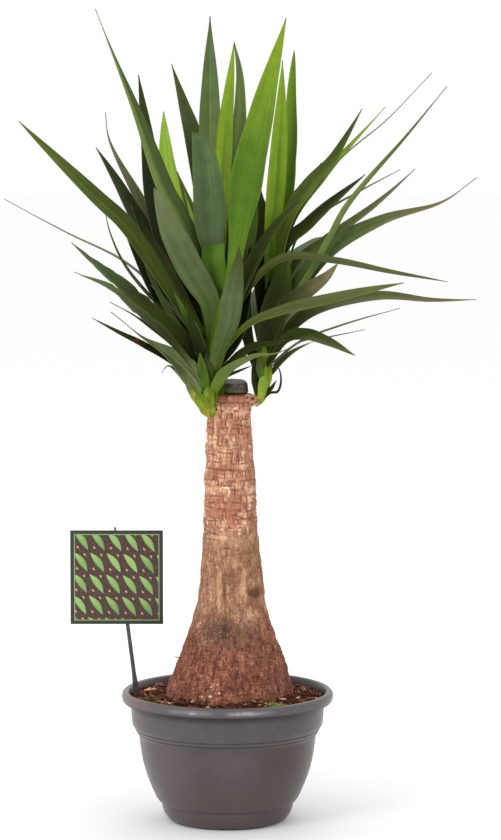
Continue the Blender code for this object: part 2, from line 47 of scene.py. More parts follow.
def pickOnly(*things):
    if bpy.context.object and bpy.context.object.mode != "OBJECT":
        bpy.ops.object.mode_set(mode="OBJECT")
    bpy.ops.object.select_all(action="DESELECT")
    for thing in things:
        thing.select_set(True)
    if things:
        bpy.context.view_layer.objects.active = things[0]


def fresh(name, add, **options):  # a new basic body, the only one that is picked
    pickOnly()
    add(**options)
    bpy.context.object.name = name
    return bpy.context.object


def grid(name, columns, rows):  # from -1 to 1 both ways, to be rolled up or bent
    return fresh(name, bpy.ops.mesh.primitive_grid_add, x_subdivisions=columns, y_subdivisions=rows, size=2)


def openMesh(thing):  # edit mode, with the whole mesh picked
    pickOnly(thing)
    bpy.ops.object.mode_set(mode="EDIT")
    bpy.ops.mesh.select_all(action="SELECT")


def closeMesh(thing):
    bpy.ops.object.mode_set(mode="OBJECT")
    return thing


def applyAll(thing):
    pickOnly(thing)
    for modifier in list(thing.modifiers):
        bpy.ops.object.modifier_apply(modifier=modifier.name)
    return thing


def settle(thing):  # puts the object's place into its mesh
    pickOnly(thing)
    bpy.ops.object.transform_apply(location=True, rotation=True, scale=True)
    return thing


def ownCopy(blank, name):
    thing = bpy.data.objects.new(name, blank.data.copy())
    bpy.context.scene.collection.objects.link(thing)
    return thing


def joinAs(name, things):
    pickOnly(*things)
    bpy.ops.object.join()
    thing = bpy.context.object
    thing.name = name
    thing.data.name = name
    return thing


def fixNormals(thing, mergeDistance):
    openMesh(thing)
    bpy.ops.mesh.remove_doubles(threshold=mergeDistance)
    bpy.ops.mesh.normals_make_consistent(inside=False)
    return closeMesh(thing)


def thicken(thing, thickness):
    wall = thing.modifiers.new("thickness", "SOLIDIFY")
    wall.thickness = thickness * mm
    wall.offset = 0
    return applyAll(thing)


def tint(thing, name, colours):  # a colour on each vertex, which the finish reads by its name
    layer = thing.data.color_attributes.new(name, "FLOAT_COLOR", "POINT")
    layer.data.foreach_set("color", [value for colour in colours for value in (*colour, 1.0)])


def smoothAt(thing, degrees):
    pickOnly(thing)
    bpy.ops.object.shade_smooth_by_angle(angle=math.radians(degrees))
    return thing


def finishPiece(thing, material, slotName, *nodes):
    thing.data.materials.clear()
    thing.data.materials.append(material)
    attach(thing, "root")
    if nodes:
        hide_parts(*nodes)


def linear(red, green, blue):  # a colour on the 0 to 255 scale, as light
    return tuple(((value / 255 + 0.055) / 1.055) ** 2.4 if value > 10 else value / 255 / 12.92
                 for value in (red, green, blue))


def along(rows, place, column=1):  # value of a column at a place, straight between the rows
    if place <= rows[0][0]:
        return rows[0][column]
    for low, high in zip(rows, rows[1:]):
        if place <= high[0]:
            share = (place - low[0]) / (high[0] - low[0])
            return low[column] + share * (high[column] - low[column])
    return rows[-1][column]


def around(reach, turn):
    return reach * math.cos(turn), reach * math.sin(turn)


def ease(low, high, value):
    share = max(0.0, min(1.0, (value - low) / (high - low)))
    return share * share * (3 - 2 * share)


# shader maths as expressions on sockets

class Wire:
    def __init__(self, tree, socket=None):
        self.tree = tree
        self.socket = socket

    def node(self, kind, settings=None, inputs=None, output=0):
        made = self.tree.nodes.new(kind)
        for name, value in (settings or {}).items():
            setattr(made, name, value)
        for name, value in (inputs or {}).items():
            if isinstance(value, Wire):
                self.tree.links.new(value.socket, made.inputs[name])
            else:
                made.inputs[name].default_value = value
        return Wire(self.tree, made.outputs[output])

    def math(self, operation, *others):
        return self.node("ShaderNodeMath", {"operation": operation}, dict(enumerate((self, *others))))

    def vectorMath(self, operation, *others):
        return self.node("ShaderNodeVectorMath", {"operation": operation}, dict(enumerate((self, *others))))

    def named(self, attribute, output=0):  # a colour or value that the mesh carries under a name
        return self.node("ShaderNodeAttribute", {"attribute_name": attribute}, output=output)

    def scaled(self, factor):
        return self.node("ShaderNodeVectorMath", {"operation": "SCALE"}, {"Vector": self, "Scale": factor})

    def parts(self, kind="XYZ", socket="Vector"):  # its three axes, or with "Color" its three channels
        separate = "ShaderNodeSeparate" + kind
        return [self.node(separate, inputs={socket: self}, output=index) for index in range(3)]

    def __add__(self, other):
        return self.math("ADD", other)

    def __sub__(self, other):
        return self.math("SUBTRACT", other)

    def __rsub__(self, other):
        return self.math("MULTIPLY", -1.0).math("ADD", other)

    def __mul__(self, other):
        return self.math("MULTIPLY", other)

    def __truediv__(self, other):
        return self.math("DIVIDE", other)

    def __abs__(self):
        return self.math("ABSOLUTE")

    def between(self, low, high):  # 0 below low, 1 above high, smooth between
        return self.node("ShaderNodeMapRange", {"interpolation_type": "SMOOTHSTEP"},
                         {"Value": self, "From Min": low, "From Max": high})

    def mixed(self, first, second):  # this value is the share of the second colour
        colours = [value if isinstance(value, Wire) else (*linear(*value), 1.0)
                   for value in (first, second)]
        return self.node("ShaderNodeMix", {"data_type": "RGBA"}, {0: self, 6: colours[0], 7: colours[1]}, 2)


def newFinish(name, specular=0.5):  # a new material, and the place on the object as a wire
    material = bpy.data.materials.new(name)
    material.use_nodes = True
    material.node_tree.nodes["Principled BSDF"].inputs["Specular IOR Level"].default_value = specular
    return material, Wire(material.node_tree).node("ShaderNodeTexCoord", output="Object")


def dressed(material, colour, roughness, relief, strength, depth):  # relief is the height for the bump
    bump = relief.node("ShaderNodeBump", inputs={"Height": relief, "Strength": strength, "Distance": depth})
    for name, wire in (("Base Color", colour), ("Roughness", roughness), ("Normal", bump)):
        wire.tree.links.new(wire.socket, material.node_tree.nodes["Principled BSDF"].inputs[name])
    return material


def painted(colour, *layers):  # each layer is the share that it covers, and its colour
    for share, other in layers:
        colour = share.mixed(colour, other)
    return colour


def stretched(place, scale):
    return place.node("ShaderNodeMapping", inputs={"Vector": place, "Scale": scale})


def speckle(place, scale, detail, rough, stretch=None):
    if stretch:
        place = stretched(place, stretch)
    return place.node("ShaderNodeTexNoise", inputs={
        "Vector": place, "Scale": scale, "Detail": detail, "Roughness": rough})


def threads(place, scale, stretch):  # 1 on thin broken lines that run the way that the stretch is small
    wave = speckle(place, scale, 2.0, 0.5, stretch)
    return 1.0 - abs(wave - 0.5).between(0.004, 0.028)


def net(place, scale, stretch):  # 1 on the lines of a crooked net, 0 within its meshes
    drift = place.node("ShaderNodeTexNoise", inputs={"Vector": place, "Scale": scale * 0.45}, output=1)
    crooked = drift.vectorMath("MULTIPLY_ADD", (0.7 / scale, 0.7 / scale, 0.7 / scale), place)
    meshes = place.node("ShaderNodeTexVoronoi", {"feature": "DISTANCE_TO_EDGE"},
                        {"Vector": stretched(crooked, stretch), "Scale": scale})
    return 1.0 - meshes.between(0.02, 0.16)


# nursery pot: one profile from the lip over the collar and belly to the foot, and up the inside

pot = {
    "lip": [(111.4, 144.0), (112.6, 147.2), (114.0, 148.2), (115.8, 148.5), (117.7, 148.0), (119.3, 146.5),
            (120.2, 144.6), (120.4, 142.4), (120.0, 139.8), (119.1, 137.2), (118.3, 136.3), (117.4, 136.5),
            (116.9, 138.4), (116.2, 141.0), (113.6, 142.2), (111.3, 141.2), (110.6, 138.6)],
    "collar": [(110.2, 131.0), (109.6, 124.0), (109.1, 114.8), (108.6, 111.4), (107.8, 109.4), (106.8, 107.9),
               (105.8, 106.9), (105.4, 106.2), (105.6, 105.4), (105.2, 104.3), (104.2, 103.0), (103.3, 102.0),
               (103.0, 101.4), (103.1, 100.7), (102.6, 99.8), (101.8, 98.9), (101.2, 98.2)],
    "belly": [(100.8, 97.2), (99.8, 88.0), (96.6, 68.0), (91.0, 49.0), (82.6, 29.0), (79.0, 23.2)],
    "foot": [(78.2, 22.0), (76.4, 21.2), (75.4, 20.2), (75.0, 18.0), (74.2, 13.4), (72.6, 9.0), (70.0, 5.0),
             (67.2, 2.2), (64.6, 0.7), (62.0, 0.0), (56.0, 0.0), (55.0, 0.8), (54.6, 2.0), (26.0, 2.0),
             (25.2, 0.9), (24.4, 0.0), (0.0, 0.0)],
    "inside": [(0.0, 4.6), (66.0, 4.6), (68.2, 6.6), (71.4, 13.6), (80.0, 29.0), (88.4, 49.0), (94.0, 68.0),
               (97.2, 88.0), (98.5, 100.0), (99.8, 103.8), (104.4, 109.4), (106.2, 114.0), (107.6, 131.0)],
    "steps": 112,
    "bellyPoints": 18,
    "shadeLines": [(106.2, 1.0, 0.65), (101.4, 1.0, 0.7), (136.9, 2.2, 0.95)],  # height, half width and darkness of each painted shade line: in the two grooves and under the lip
    "lipHighlight": [(-63, -20), (3, 47)],  # from where to where a highlight is painted on the crest of the lip's front
    "notches": 6,
    "notchSize": (11.0, 20.0, 2.6),
    "notchRadius": 61.0,
    "drainRadius": 4.5,
    "drainCircle": 42.0,
}


def smoothCurve(points, count):  # evenly spaced points on a smooth curve through the given ones
    points = [Vector(point) for point in points]
    ends = [points[0] * 2 - points[1], *points, points[-1] * 2 - points[-2]]
    fine, parts = [], 14
    for index in range(len(points) - 1):
        before, start, end, after = ends[index:index + 4]
        for step in range(parts):
            t = step / parts
            fine.append(0.5 * (2 * start + (end - before) * t
                               + (2 * before - 5 * start + 4 * end - after) * t * t
                               + (3 * start - before - 3 * end + after) * t ** 3))
    fine.append(points[-1])
    run = [0.0]
    for start, end in zip(fine, fine[1:]):
        run.append(run[-1] + (end - start).length)
    even = []
    place = 0
    for index in range(count):
        target = run[-1] * index / (count - 1)
        while place < len(run) - 2 and run[place + 1] < target:
            place += 1
        share = (target - run[place]) / (run[place + 1] - run[place])
        even.append(fine[place].lerp(fine[place + 1], share))
    return even


def spunBody(name, profile, steps):  # a profile of radius and height, turned about the upright axis
    thing = fresh(name, bpy.ops.mesh.primitive_plane_add, size=mm)
    openMesh(thing)
    bpy.ops.mesh.select_mode(type="VERT")
    bpy.ops.mesh.merge(type="CENTER")
    bpy.ops.transform.translate(value=(profile[0][0] * mm, 0, profile[0][1] * mm))
    for start, end in zip(profile, profile[1:]):
        step = ((end[0] - start[0]) * mm, 0, (end[1] - start[1]) * mm)
        bpy.ops.mesh.extrude_vertices_move(TRANSFORM_OT_translate={"value": step})
    bpy.ops.mesh.select_all(action="SELECT")
    bpy.ops.mesh.spin(steps=steps, angle=math.tau, center=(0, 0, 0), axis=(0, 0, 1))
    return fixNormals(thing, 0.00001)


def makePot():
    belly = [tuple(point) for point in smoothCurve(pot["belly"], pot["bellyPoints"])]
    profile = pot["inside"] + pot["lip"] + pot["collar"] + belly + pot["foot"]
    body = spunBody("potShell", profile, pot["steps"])
    cutters = []
    for index in range(pot["notches"]):
        turn = index * math.tau / pot["notches"] - math.pi / 2
        half = turn + math.pi / pot["notches"]
        notch = fresh("notch", bpy.ops.mesh.primitive_cube_add, size=mm,
                      rotation=(0, 0, turn - math.pi / 2),
                      location=(*around(pot["notchRadius"] * mm, turn), 0))
        notch.scale = pot["notchSize"]
        cutters.append(settle(notch))
        drain = fresh("drain", bpy.ops.mesh.primitive_cylinder_add, vertices=24, depth=20 * mm,
                      radius=pot["drainRadius"] * mm, location=(*around(pot["drainCircle"] * mm, half), 0))
        cutters.append(settle(drain))
    cutter = joinAs("potCutter", cutters)
    boolean = body.modifiers.new("cut", "BOOLEAN")
    boolean.operation = "DIFFERENCE"
    boolean.solver = "EXACT"
    boolean.object = cutter
    applyAll(body)
    bpy.data.objects.remove(cutter)
    return smoothAt(body, 32)


def potFinish():
    material, place = newFinish("mouldedPlastic", 0.3)
    x, y, z = place.parts()
    cloudy = speckle(place, 20.0, 3.0, 0.55)
    smudge = speckle(place, 55.0, 4.0, 0.65, (1.0, 1.0, 1.6)).between(0.50, 0.72)
    grain = speckle(place, 900.0, 2.0, 0.5)
    scuff = speckle(place, 190.0, 3.0, 0.7, (1.0, 1.0, 0.22)).between(0.66, 0.76)
    dust = speckle(place, 330.0, 2.0, 0.5).between(0.735, 0.80)
    collar = z.between(0.094, 0.106)
    # painted shadow under the overhang of the lip
    lipShadow = z.between(0.1265, 0.1365) * (1.0 - z.between(0.1372, 0.1380))
    colour = painted(
        cloudy.between(0.30, 0.72).mixed((77, 67, 67), (85, 76, 76)),
        (1.0 - z.between(-0.01, 0.075), (84, 73, 72)),
        # painted shade: the right of the belly darker
        (x.between(0.01, 0.08) * 0.6, (66, 54, 51)),
        (collar * 0.75, (83, 77, 81)),
        # painted light: the left of the belly lighter, and both side edges lighter and warmer
        ((1.0 - x.between(-0.07, -0.02)) * 0.4, (96, 87, 87)),
        (abs(x).between(0.080, 0.108) * 0.7, (90, 77, 72)),
        (collar * smudge * 0.35, (104, 100, 106)),
        (lipShadow * 0.7, (40, 34, 35)))
    # painted shade in the grooves and a painted shadow under the lip
    for height, width, depth in pot["shadeLines"]:
        shadeLine = 1.0 - abs(z - height * mm).between(width * 0.3 * mm, width * mm)
        colour = (shadeLine * depth).mixed(colour, (38, 32, 33))
    # painted light: the lip lighter than the body, and lighter and warmer at its left end
    lip = z.between(0.136, 0.147)
    colour = painted(colour, (lip * 0.5, (98, 91, 93)),
                     (lip * (1.0 - x.between(-0.115, -0.07)) * 0.6, (124, 106, 98)))
    # painted highlight along the crest of the lip, on its front only
    crest = (1.0 - abs(z - 0.1430).between(0.0, 0.0036)) * smudge.between(-0.4, 0.6)
    across = x * 1000.0
    for low, high in pot["lipHighlight"]:
        lipHighlight = across.between(low - 8, low + 6) * (1.0 - across.between(high - 6, high + 10)) * crest
        colour = (lipHighlight * (0.0 - y).between(0.0, 0.02) * 0.8).mixed(colour, (172, 164, 172))
    reach = (x * x + y * y).math("SQRT")
    wall = (1.0 - reach.between(0.1108, 0.1116)) * (1.0 - (reach - z * 0.25).between(0.0759, 0.0763))
    wall *= (1.0 - z.between(0.1455, 0.148)) * z.between(0.125, 0.130)  # the inside, soil to lip, painted dark: soil stains and painted shade
    colour = painted(colour, (scuff * 0.14, (128, 122, 122)), (dust * 0.35, (140, 130, 122)),
                     (wall * (smudge * 0.3 + 0.65), (46, 38, 33)))
    roughness = cloudy * 0.10 + smudge * 0.10 + scuff * 0.10 + 0.26
    return dressed(material, colour, roughness, grain + cloudy * 0.6, 0.10, 0.0005)


finishPiece(makePot(), potFinish(), "pot_plastic", "pot")
print("pot done")


# trunk: a grid rolled round its axis, with plates, scars and furrows pushed into it

trunk = {
    "shape": [  # height, mean radius, how far its middle lies to the right
        (84.0, 52.0, 1.5), (112.0, 70.0, 1.5), (139.0, 73.8, 1.5), (155.0, 69.0, 1.8), (185.0, 59.0, 4.0),
        (209.0, 50.6, 4.0), (225.0, 45.0, 4.6), (240.0, 40.4, 4.6), (256.0, 37.2, 4.6), (297.0, 33.0, 4.2),
        (333.0, 30.6, 3.6), (388.0, 28.8, 3.2), (420.0, 26.6, 2.6), (455.0, 25.0, 2.0), (478.0, 24.4, 2.0)],
    "top": 488.0,
    "footX": 1.5,
    "soilLine": 136.0,
    "buried": 96.0,
    "around": 256,
    "fineRings": 350,
    "ribs": 7,
    "spread": 6.0,  # how much further the foot reaches to the front left
    "spreadTurn": 3.9,
    "tiles": (8.0, 9.4),  # width and height
    "fineTiles": (3.6, 4.4),
    "scars": [(-31, 334, -8, 330), (1, 356, 33, 343), (-28, 361, 12, 358), (3, 382, 13, 380),
              (-27, 372, -2, 375), (-24, 405, 28, 402), (-8, 478, -6, 452), (-22, 421, -12, 420),
              (13, 428, 13, 404), (22, 382, 23, 346), (-27, 345, -4, 347), (-24, 325, -9, 324),
              (6, 455, 26, 452), (-18, 396, -1, 394), (31, 337, 26, 331), (-8, 316, 6, 315)],
    # soft patches of colour on the front: middle, half width and height, and strength if it isn't 1
    "tan": [(15, 468, 13, 5), (-11, 466, 12, 10), (-14, 443, 3, 22), (-4, 421, 3, 16), (4, 432, 6, 6),
            (11, 386, 7, 4), (17, 351, 7, 8), (16, 409, 6, 8), (21, 375, 4, 12), (-17, 380, 13, 12, 0.8),
            (-6, 393, 6, 6), (-10, 327, 14, 5, 0.7), (28, 327, 5, 8, 0.6)],
    "red": [(10, 346, 12, 11), (-29, 305, 5, 24), (-4, 404, 20, 10, 0.5), (-6, 362, 30, 13, 0.6)],
    "ridges": [(-9, 268, 4, 28), (19, 272, 3, 26), (26, 242, 8, 9)],
    "knobs": [(0.15, 479.0, 4.6), (3.2, 391.0, 1.9), (0.1, 434.0, 1.2), (3.0, 428.0, 0.9), (4.9, 372.0, 0.9),
              (5.6, 398.0, 0.8)],  # turn from the right, height, how far it stands out
    "curls": [  # middle, ring and tube radius, and turn of each curl of torn bark
        ((27.5, -6.0, 482.5), (3.8, 1.9), (70, 10, 20)), ((31.0, -2.0, 478.0), (3.0, 1.7), (60, -25, 40)),
        ((22.0, -13.0, 484.0), (2.8, 1.5), (80, 30, 0)), ((33.0, -1.0, 484.5), (1.9, 1.2), (20, 60, 0))],
}


def trunkRadius(turn, height):
    radius = along(trunk["shape"], height)
    flare = max(0.0, min(1.0, (235.0 - height) / 90.0))
    waves = 0.035 * math.sin(trunk["ribs"] * turn + 1.1) + 0.02 * math.sin(3 * turn + 0.4)
    radius *= 1 + flare * waves
    radius += 0.5 * math.sin(height / 3.7) * math.sin(2 * turn + height / 31)
    radius += 0.45 * math.sin(11 * turn + 2.2 * math.sin(height / 19))
    spread = max(0.0, math.cos(turn - trunk["spreadTurn"])) ** 2
    radius += trunk["spread"] * spread * ease(0.0, 26.0, 166.0 - height)
    for knobTurn, knobHeight, size in trunk["knobs"]:
        side = math.atan2(math.sin(turn - knobTurn), math.cos(turn - knobTurn)) * radius
        radius += size * math.exp(-(side / 9) ** 2 - ((height - knobHeight) / 7) ** 2)
    return radius


def tilesAt(turn, height, size, kind):  # uneven bark tiles: the crack between them, their swell and tone
    wide, tall = size
    ring = Vector((math.cos(turn), math.sin(turn), 0))
    level = (height + 2.6 * noise.noise(ring * 1.7 + Vector((0, 0, height / 30 + kind)))) / tall
    level += 0.42 * noise.noise(Vector((level * 0.9, kind * 3, 0)))
    row = math.floor(level)
    columns = round(176 / wide)
    column = columns * (turn / math.tau % 1.0) + 7.3 * noise.cell(Vector((row * 3.7, kind, 0)))
    column += 0.9 * noise.noise(ring * 5.5 + Vector((0, 0, row * 2.9 + height / 26)))
    crosswise, upright = (level - row) * tall, (column - math.floor(column)) * wide
    crosswise, upright = min(crosswise, tall - crosswise), min(upright, wide - upright)
    broken = noise.noise(ring * 4.5 + Vector((kind * 5, 0, round(level) * 1.9)))
    torn = noise.noise(ring * 3.1 + Vector((kind * 8, 0, height / 9)))
    crack = max((1 - ease(0.2, 1.1, crosswise)) * ease(-0.25, 0.2, broken),
                (1 - ease(0.2, 1.0, upright)) * ease(-0.3, 0.15, torn))
    brick = noise.cell(Vector((row * 1.31 + 0.5, math.floor(column) % columns * 1.17 + 0.5, kind * 9.5)))
    return crack, ease(0.2, 2.0, min(crosswise, upright)), brick


def scarAt(across, height):  # the single long cracks on the front
    deepest = 0.0
    spot = Vector((across, height + 1.4 * noise.noise(Vector((across / 4, height / 9, 3)))))
    for startX, startZ, endX, endZ in trunk["scars"]:
        start, run = Vector((startX, startZ)), Vector((endX - startX, endZ - startZ))
        share = max(0.0, min(1.0, (spot - start).dot(run) / run.length_squared))
        far = (spot - start - run * share).length
        deepest = max(deepest, (1 - ease(0.3, 1.4, far)) * (0.6 + 0.4 * math.sin(math.pi * share)))
    return deepest


def barkRelief(turn, height):  # how far the bark stands out, in mm, with its crack, tone and height shares
    x, y = math.cos(turn), math.sin(turn)
    scaled = ease(212, 262, height)
    upper = ease(300, 342, height)
    crack, swell, tone = tilesAt(turn, height, trunk["tiles"], 1)
    fineCrack, fineSwell, fineTone = tilesAt(turn, height, trunk["fineTiles"], 2)
    crack = max(crack * (0.25 + 0.75 * upper), 0.6 * fineCrack * (0.4 + 0.6 * upper)) * scaled
    fold = noise.noise(Vector((x * 2.6, y * 2.6, height / 46)))
    crease = 1 - ease(0.0, 0.07, abs(noise.noise(Vector((x * 3.4, y * 3.4, height / 60 + 31)))))
    crease *= ease(-0.1, 0.3, noise.noise(Vector((x * 2, y * 2, height / 25 + 12)))) * (1 - 0.8 * upper)
    fibre = noise.fractal(Vector((x * 15, y * 15, height / 13)), 0.7, 2.1, 4)
    furrow = 1 - ease(0.03, 0.22, abs(noise.noise(Vector((x * 19, y * 19, height / 24 + 11)))))
    furrow *= ease(-0.15, 0.3, noise.noise(Vector((x * 9, y * 9, height / 14 + 70))))
    wrinkle = noise.noise(Vector((x * 6, y * 6, height / 2.4)))
    scar = 0.0
    if y < 0:
        scar = scarAt(along(trunk["shape"], height, 2) + along(trunk["shape"], height) * x, height)
    crack = max(crack, 0.7 * furrow * (1 - scaled), 0.6 * crease, 0.25 * furrow * (1 - upper), scar)
    lift = 1.5 * fold * (1 - 0.55 * upper) + 0.5 * (swell - 0.6) * upper * scaled
    lift += 0.25 * (fineSwell - 0.6) * scaled + 0.35 * (tone - 0.5) * upper
    lift += fibre * (1.0 - 0.75 * upper) + 0.4 * wrinkle * (1 - 0.6 * scaled) - 0.8 * crack
    tone = 0.5 * tone + 0.5 * fineTone
    return lift, crack, tone * scaled + (0.5 + 0.5 * fibre) * (1 - scaled), 0.5 + 0.25 * lift


def makeTrunk():
    top, line, low, steps = trunk["top"], trunk["soilLine"], trunk["buried"], trunk["fineRings"]
    rings = [(0.0, low), (0.5, low), (1.0, low), (1.0, low + 14), (1.0, low + 28)]
    rings += [(1.0, line + (top - 2.2 - line) * step / steps) for step in range(steps + 1)]
    rings += [(0.985, top - 1.2), (0.955, top - 0.5), (0.90, top - 0.1), (0.72, top - 0.3),
              (0.35, top - 0.2), (0.0, top)]
    bark = grid("trunkBark", trunk["around"], len(rings) - 1)
    places, tints = [], []
    for vertex in bark.data.vertices:
        turn = math.pi * (1 - vertex.co.x) - math.pi / 2
        share, height = rings[round((vertex.co.y + 1) / 2 * (len(rings) - 1))]
        lift, crack, tone, rise = barkRelief(turn, height)
        radius = share * (trunkRadius(turn, height) + lift)
        places += [(along(trunk["shape"], height, 2) + radius * math.cos(turn)) * mm,
                   radius * math.sin(turn) * mm, height * mm]
        tints.append((crack, tone, rise))
    bark.data.vertices.foreach_set("co", places)
    tint(bark, "barkTint", tints)
    bark.data.uv_layers.remove(bark.data.uv_layers[0])
    return smoothAt(fixNormals(bark, 0.00002), 70)


def barkFinish():
    material, place = newFinish("tileBark", 0.12)
    x, y, z = place.parts()
    crack, tone, rise = place.named("barkTint").parts("Color", "Color")
    cloudy = speckle(place, 38.0, 4.0, 0.62)
    patchy = speckle(place, 80.0, 4.0, 0.6, (1.0, 1.0, 0.45))
    streaks = speckle(place, 300.0, 4.0, 0.62, (1.0, 1.0, 0.13))
    ticks = speckle(place, 480.0, 3.0, 0.6, (0.3, 0.3, 1.0))
    grit = speckle(place, 620.0, 3.0, 0.62)
    lumps = speckle(place, 130.0, 4.0, 0.62, (1.0, 1.0, 0.6))
    crackle = threads(place, 260.0, (1.0, 1.0, 0.22)) * lumps.between(0.32, 0.55)
    hair = threads(place, 300.0, (0.22, 0.22, 1.0)) * patchy.between(0.40, 0.60)
    height = z + cloudy * 0.05 - 0.025
    front = (0.0 - y).between(0.0, 0.02)

    def spots(rows):  # soft patches on the front, each 1 in its middle
        total = front * 0.0
        for middleX, middleZ, halfWidth, halfHeight, *strength in rows:
            acrossPatch = (x - middleX * mm) / (halfWidth * mm)
            upPatch = (z - middleZ * mm) / (halfHeight * mm)
            patch = (1.0 - (acrossPatch * acrossPatch + upPatch * upPatch)).between(0.0, 0.9) * front
            total += patch * strength[0] if strength else patch
        return total

    def spot(*row):
        return spots([row])

    upper = painted(
        (lumps * 0.7 + tone * 0.35 + rise * 0.25).between(0.42, 0.88).mixed((176, 126, 100), (240, 200, 168)),
        (cloudy.between(0.50, 0.72) * 0.4, (192, 132, 106)),
        (patchy.between(0.52, 0.74) * 0.4, (224, 180, 136)))
    middle = painted(
        (lumps * 0.55 + streaks * 0.35 + patchy * 0.3).between(0.46, 0.76).mixed(
            (132, 86, 66), (222, 178, 142)),
        (patchy.between(0.50, 0.66) * 0.5, (150, 98, 78)),
        (cloudy.between(0.50, 0.66) * 0.45, (176, 138, 98)))
    foot = painted(
        (lumps * 0.2 + streaks * 0.45 + ticks * 0.35).between(0.38, 0.62).mixed(
            (104, 59, 47), (188, 126, 101)),
        (cloudy.between(0.44, 0.62) * 0.45, (128, 78, 64)),
        (patchy.between(0.54, 0.70) * 0.4, (166, 108, 80)),
        ((1.0 - x.between(-0.075, -0.035)) * (z.between(0.15, 0.20) * 0.6), (184, 116, 84)),
        ((1.0 - z.between(0.138, 0.152)) * ticks.between(0.40, 0.60), (176, 128, 104)))
    knot = spot(31, 264, 9, 8) * (grit * 0.7 + lumps * 0.5).between(0.40, 0.56)
    knot += spot(33, 252, 5, 11) * streaks.between(0.4, 0.6) * 0.4
    body = painted(
        foot,
        ((height - abs(x + 0.012) * 0.4).between(0.192, 0.222),
         height.between(0.326, 0.338).mixed(middle, upper)),
        (height.between(0.472, 0.480) * (0.7 - x.between(0.018, 0.026) * 0.5), (150, 92, 74)),
        # painted shade: the right edge of the trunk darker
        ((x - z * 0.05).between(-0.002, 0.016) * height.between(0.24, 0.30) * 0.4, (126, 88, 66)),
        (spot(22, 316, 11, 22) * streaks.between(0.3, 0.6) * 0.55, (124, 102, 62)),
        (spot(-8, 224, 26, 22) * (lumps * 0.6 + grit * 0.6).between(0.50, 0.66) * 0.85, (60, 47, 41)),
        (spot(8, 219, 42, 18) * (grit.between(0.35, 0.6) * 0.35 + 0.2), (90, 70, 62)),
        (spot(-26, 212, 14, 6) * (ticks + grit).between(1.05, 1.2) * 0.7, (214, 178, 140)),
        (spots(trunk["tan"]) * lumps.between(0.25, 0.5) * 0.8, (238, 190, 152)),
        (spot(0, 320, 34, 14) * 0.3, (232, 188, 152)),
        (spots(trunk["red"]) * 0.5, (170, 96, 70)),
        (spots(trunk["ridges"]) * 0.5, (222, 180, 142)),
        (knot * 0.85, (66, 36, 26)),
        (spot(-3, 274, 2.6, 26) * streaks.between(0.3, 0.6) * 0.9, (92, 58, 44)),
        (spot(6, 284, 12, 14) * lumps.between(0.35, 0.55) * 0.5, (134, 90, 72)))
    lower = 1.0 - height.between(0.30, 0.34)
    veins = net(place, 280.0, (1.0, 1.0, 0.35)) * patchy.between(0.36, 0.56) * lower
    split = (crack * (grit * 0.8 + 0.55)).math("MAXIMUM", crackle * (lower * 0.3 + 0.55))
    split = split.math("MAXIMUM", hair * (lower * 0.25 + 0.55)).math("MAXIMUM", veins * 0.6)
    crackColour = height.between(0.20, 0.26).mixed((78, 42, 34), (112, 66, 50))
    colour = split.math("MINIMUM", 0.9).mixed(body, crackColour)
    light = grit * 0.50 + streaks * 0.24 + ticks * 0.24 + 0.52
    light += z.between(0.20, 0.26) * 0.10 + z.between(0.325, 0.345) * 0.14
    relief = streaks + grit * 0.7 + ticks * 0.5 - crackle - hair * 0.6 - veins
    return dressed(material, colour.scaled(light), grit * 0.2 + 0.72, relief, 0.6, 0.0009)


def makeCurl():  # torn bark round the foot of the right shoot
    curls = []
    for index, (middle, (ring, tube), turn) in enumerate(trunk["curls"]):
        curl = fresh("curl", bpy.ops.mesh.primitive_torus_add, major_segments=28, minor_segments=10,
                     major_radius=ring, minor_radius=tube, rotation=[math.radians(part) for part in turn])
        settle(curl)
        shades = [0.5 + 0.5 * noise.noise(vertex.co / 2.1) for vertex in curl.data.vertices]
        tint(curl, "barkTint", [(0.3 - 0.3 * shade, shade, shade) for shade in shades])
        for vertex in curl.data.vertices:
            lump = noise.noise_vector(vertex.co / 3.2 + Vector((index * 9, 0, 0))) * 1.3
            vertex.co = (vertex.co + lump + Vector(middle)) * mm
        curls.append(curl)
    return smoothAt(joinAs("barkCurl", curls), 60)


barkSkin = barkFinish()
finishPiece(makeTrunk(), barkSkin, "bark", "trunk")
finishPiece(makeCurl(), barkSkin, "bark")
print("trunk done")


# wax seal on the sawn top

wax = {
    "profile": [(0.0, 488.3), (16.4, 488.4), (17.3, 489.6), (17.3, 493.0), (16.9, 497.6), (16.2, 500.6),
                (14.8, 502.4), (12.6, 503.2), (8.0, 503.3), (0.0, 503.1)],
    "middle": (7.0, 2.0),
    "steps": 72,
    "wobble": 0.7,
    "slant": 3.4,  # how much lower the front of its top lies
}


def makeWax():
    cap = spunBody("waxCap", wax["profile"], wax["steps"])
    finer = cap.modifiers.new("finer", "SUBSURF")
    finer.levels = finer.render_levels = 1
    applyAll(cap)
    for vertex in cap.data.vertices:
        place = vertex.co / mm
        lump = noise.fractal(place / 7, 0.8, 2.0, 3)
        side = Vector((place.x, place.y, 0))
        if side.length > 1:
            place += side.normalized() * (lump * wax["wobble"] - 0.3)
        if place.z > 495:
            place.z += 0.25 * lump - wax["slant"] * ease(-16, 17, -place.y)
        vertex.co = (place + Vector((*wax["middle"], 0))) * mm
    return smoothAt(cap, 60)


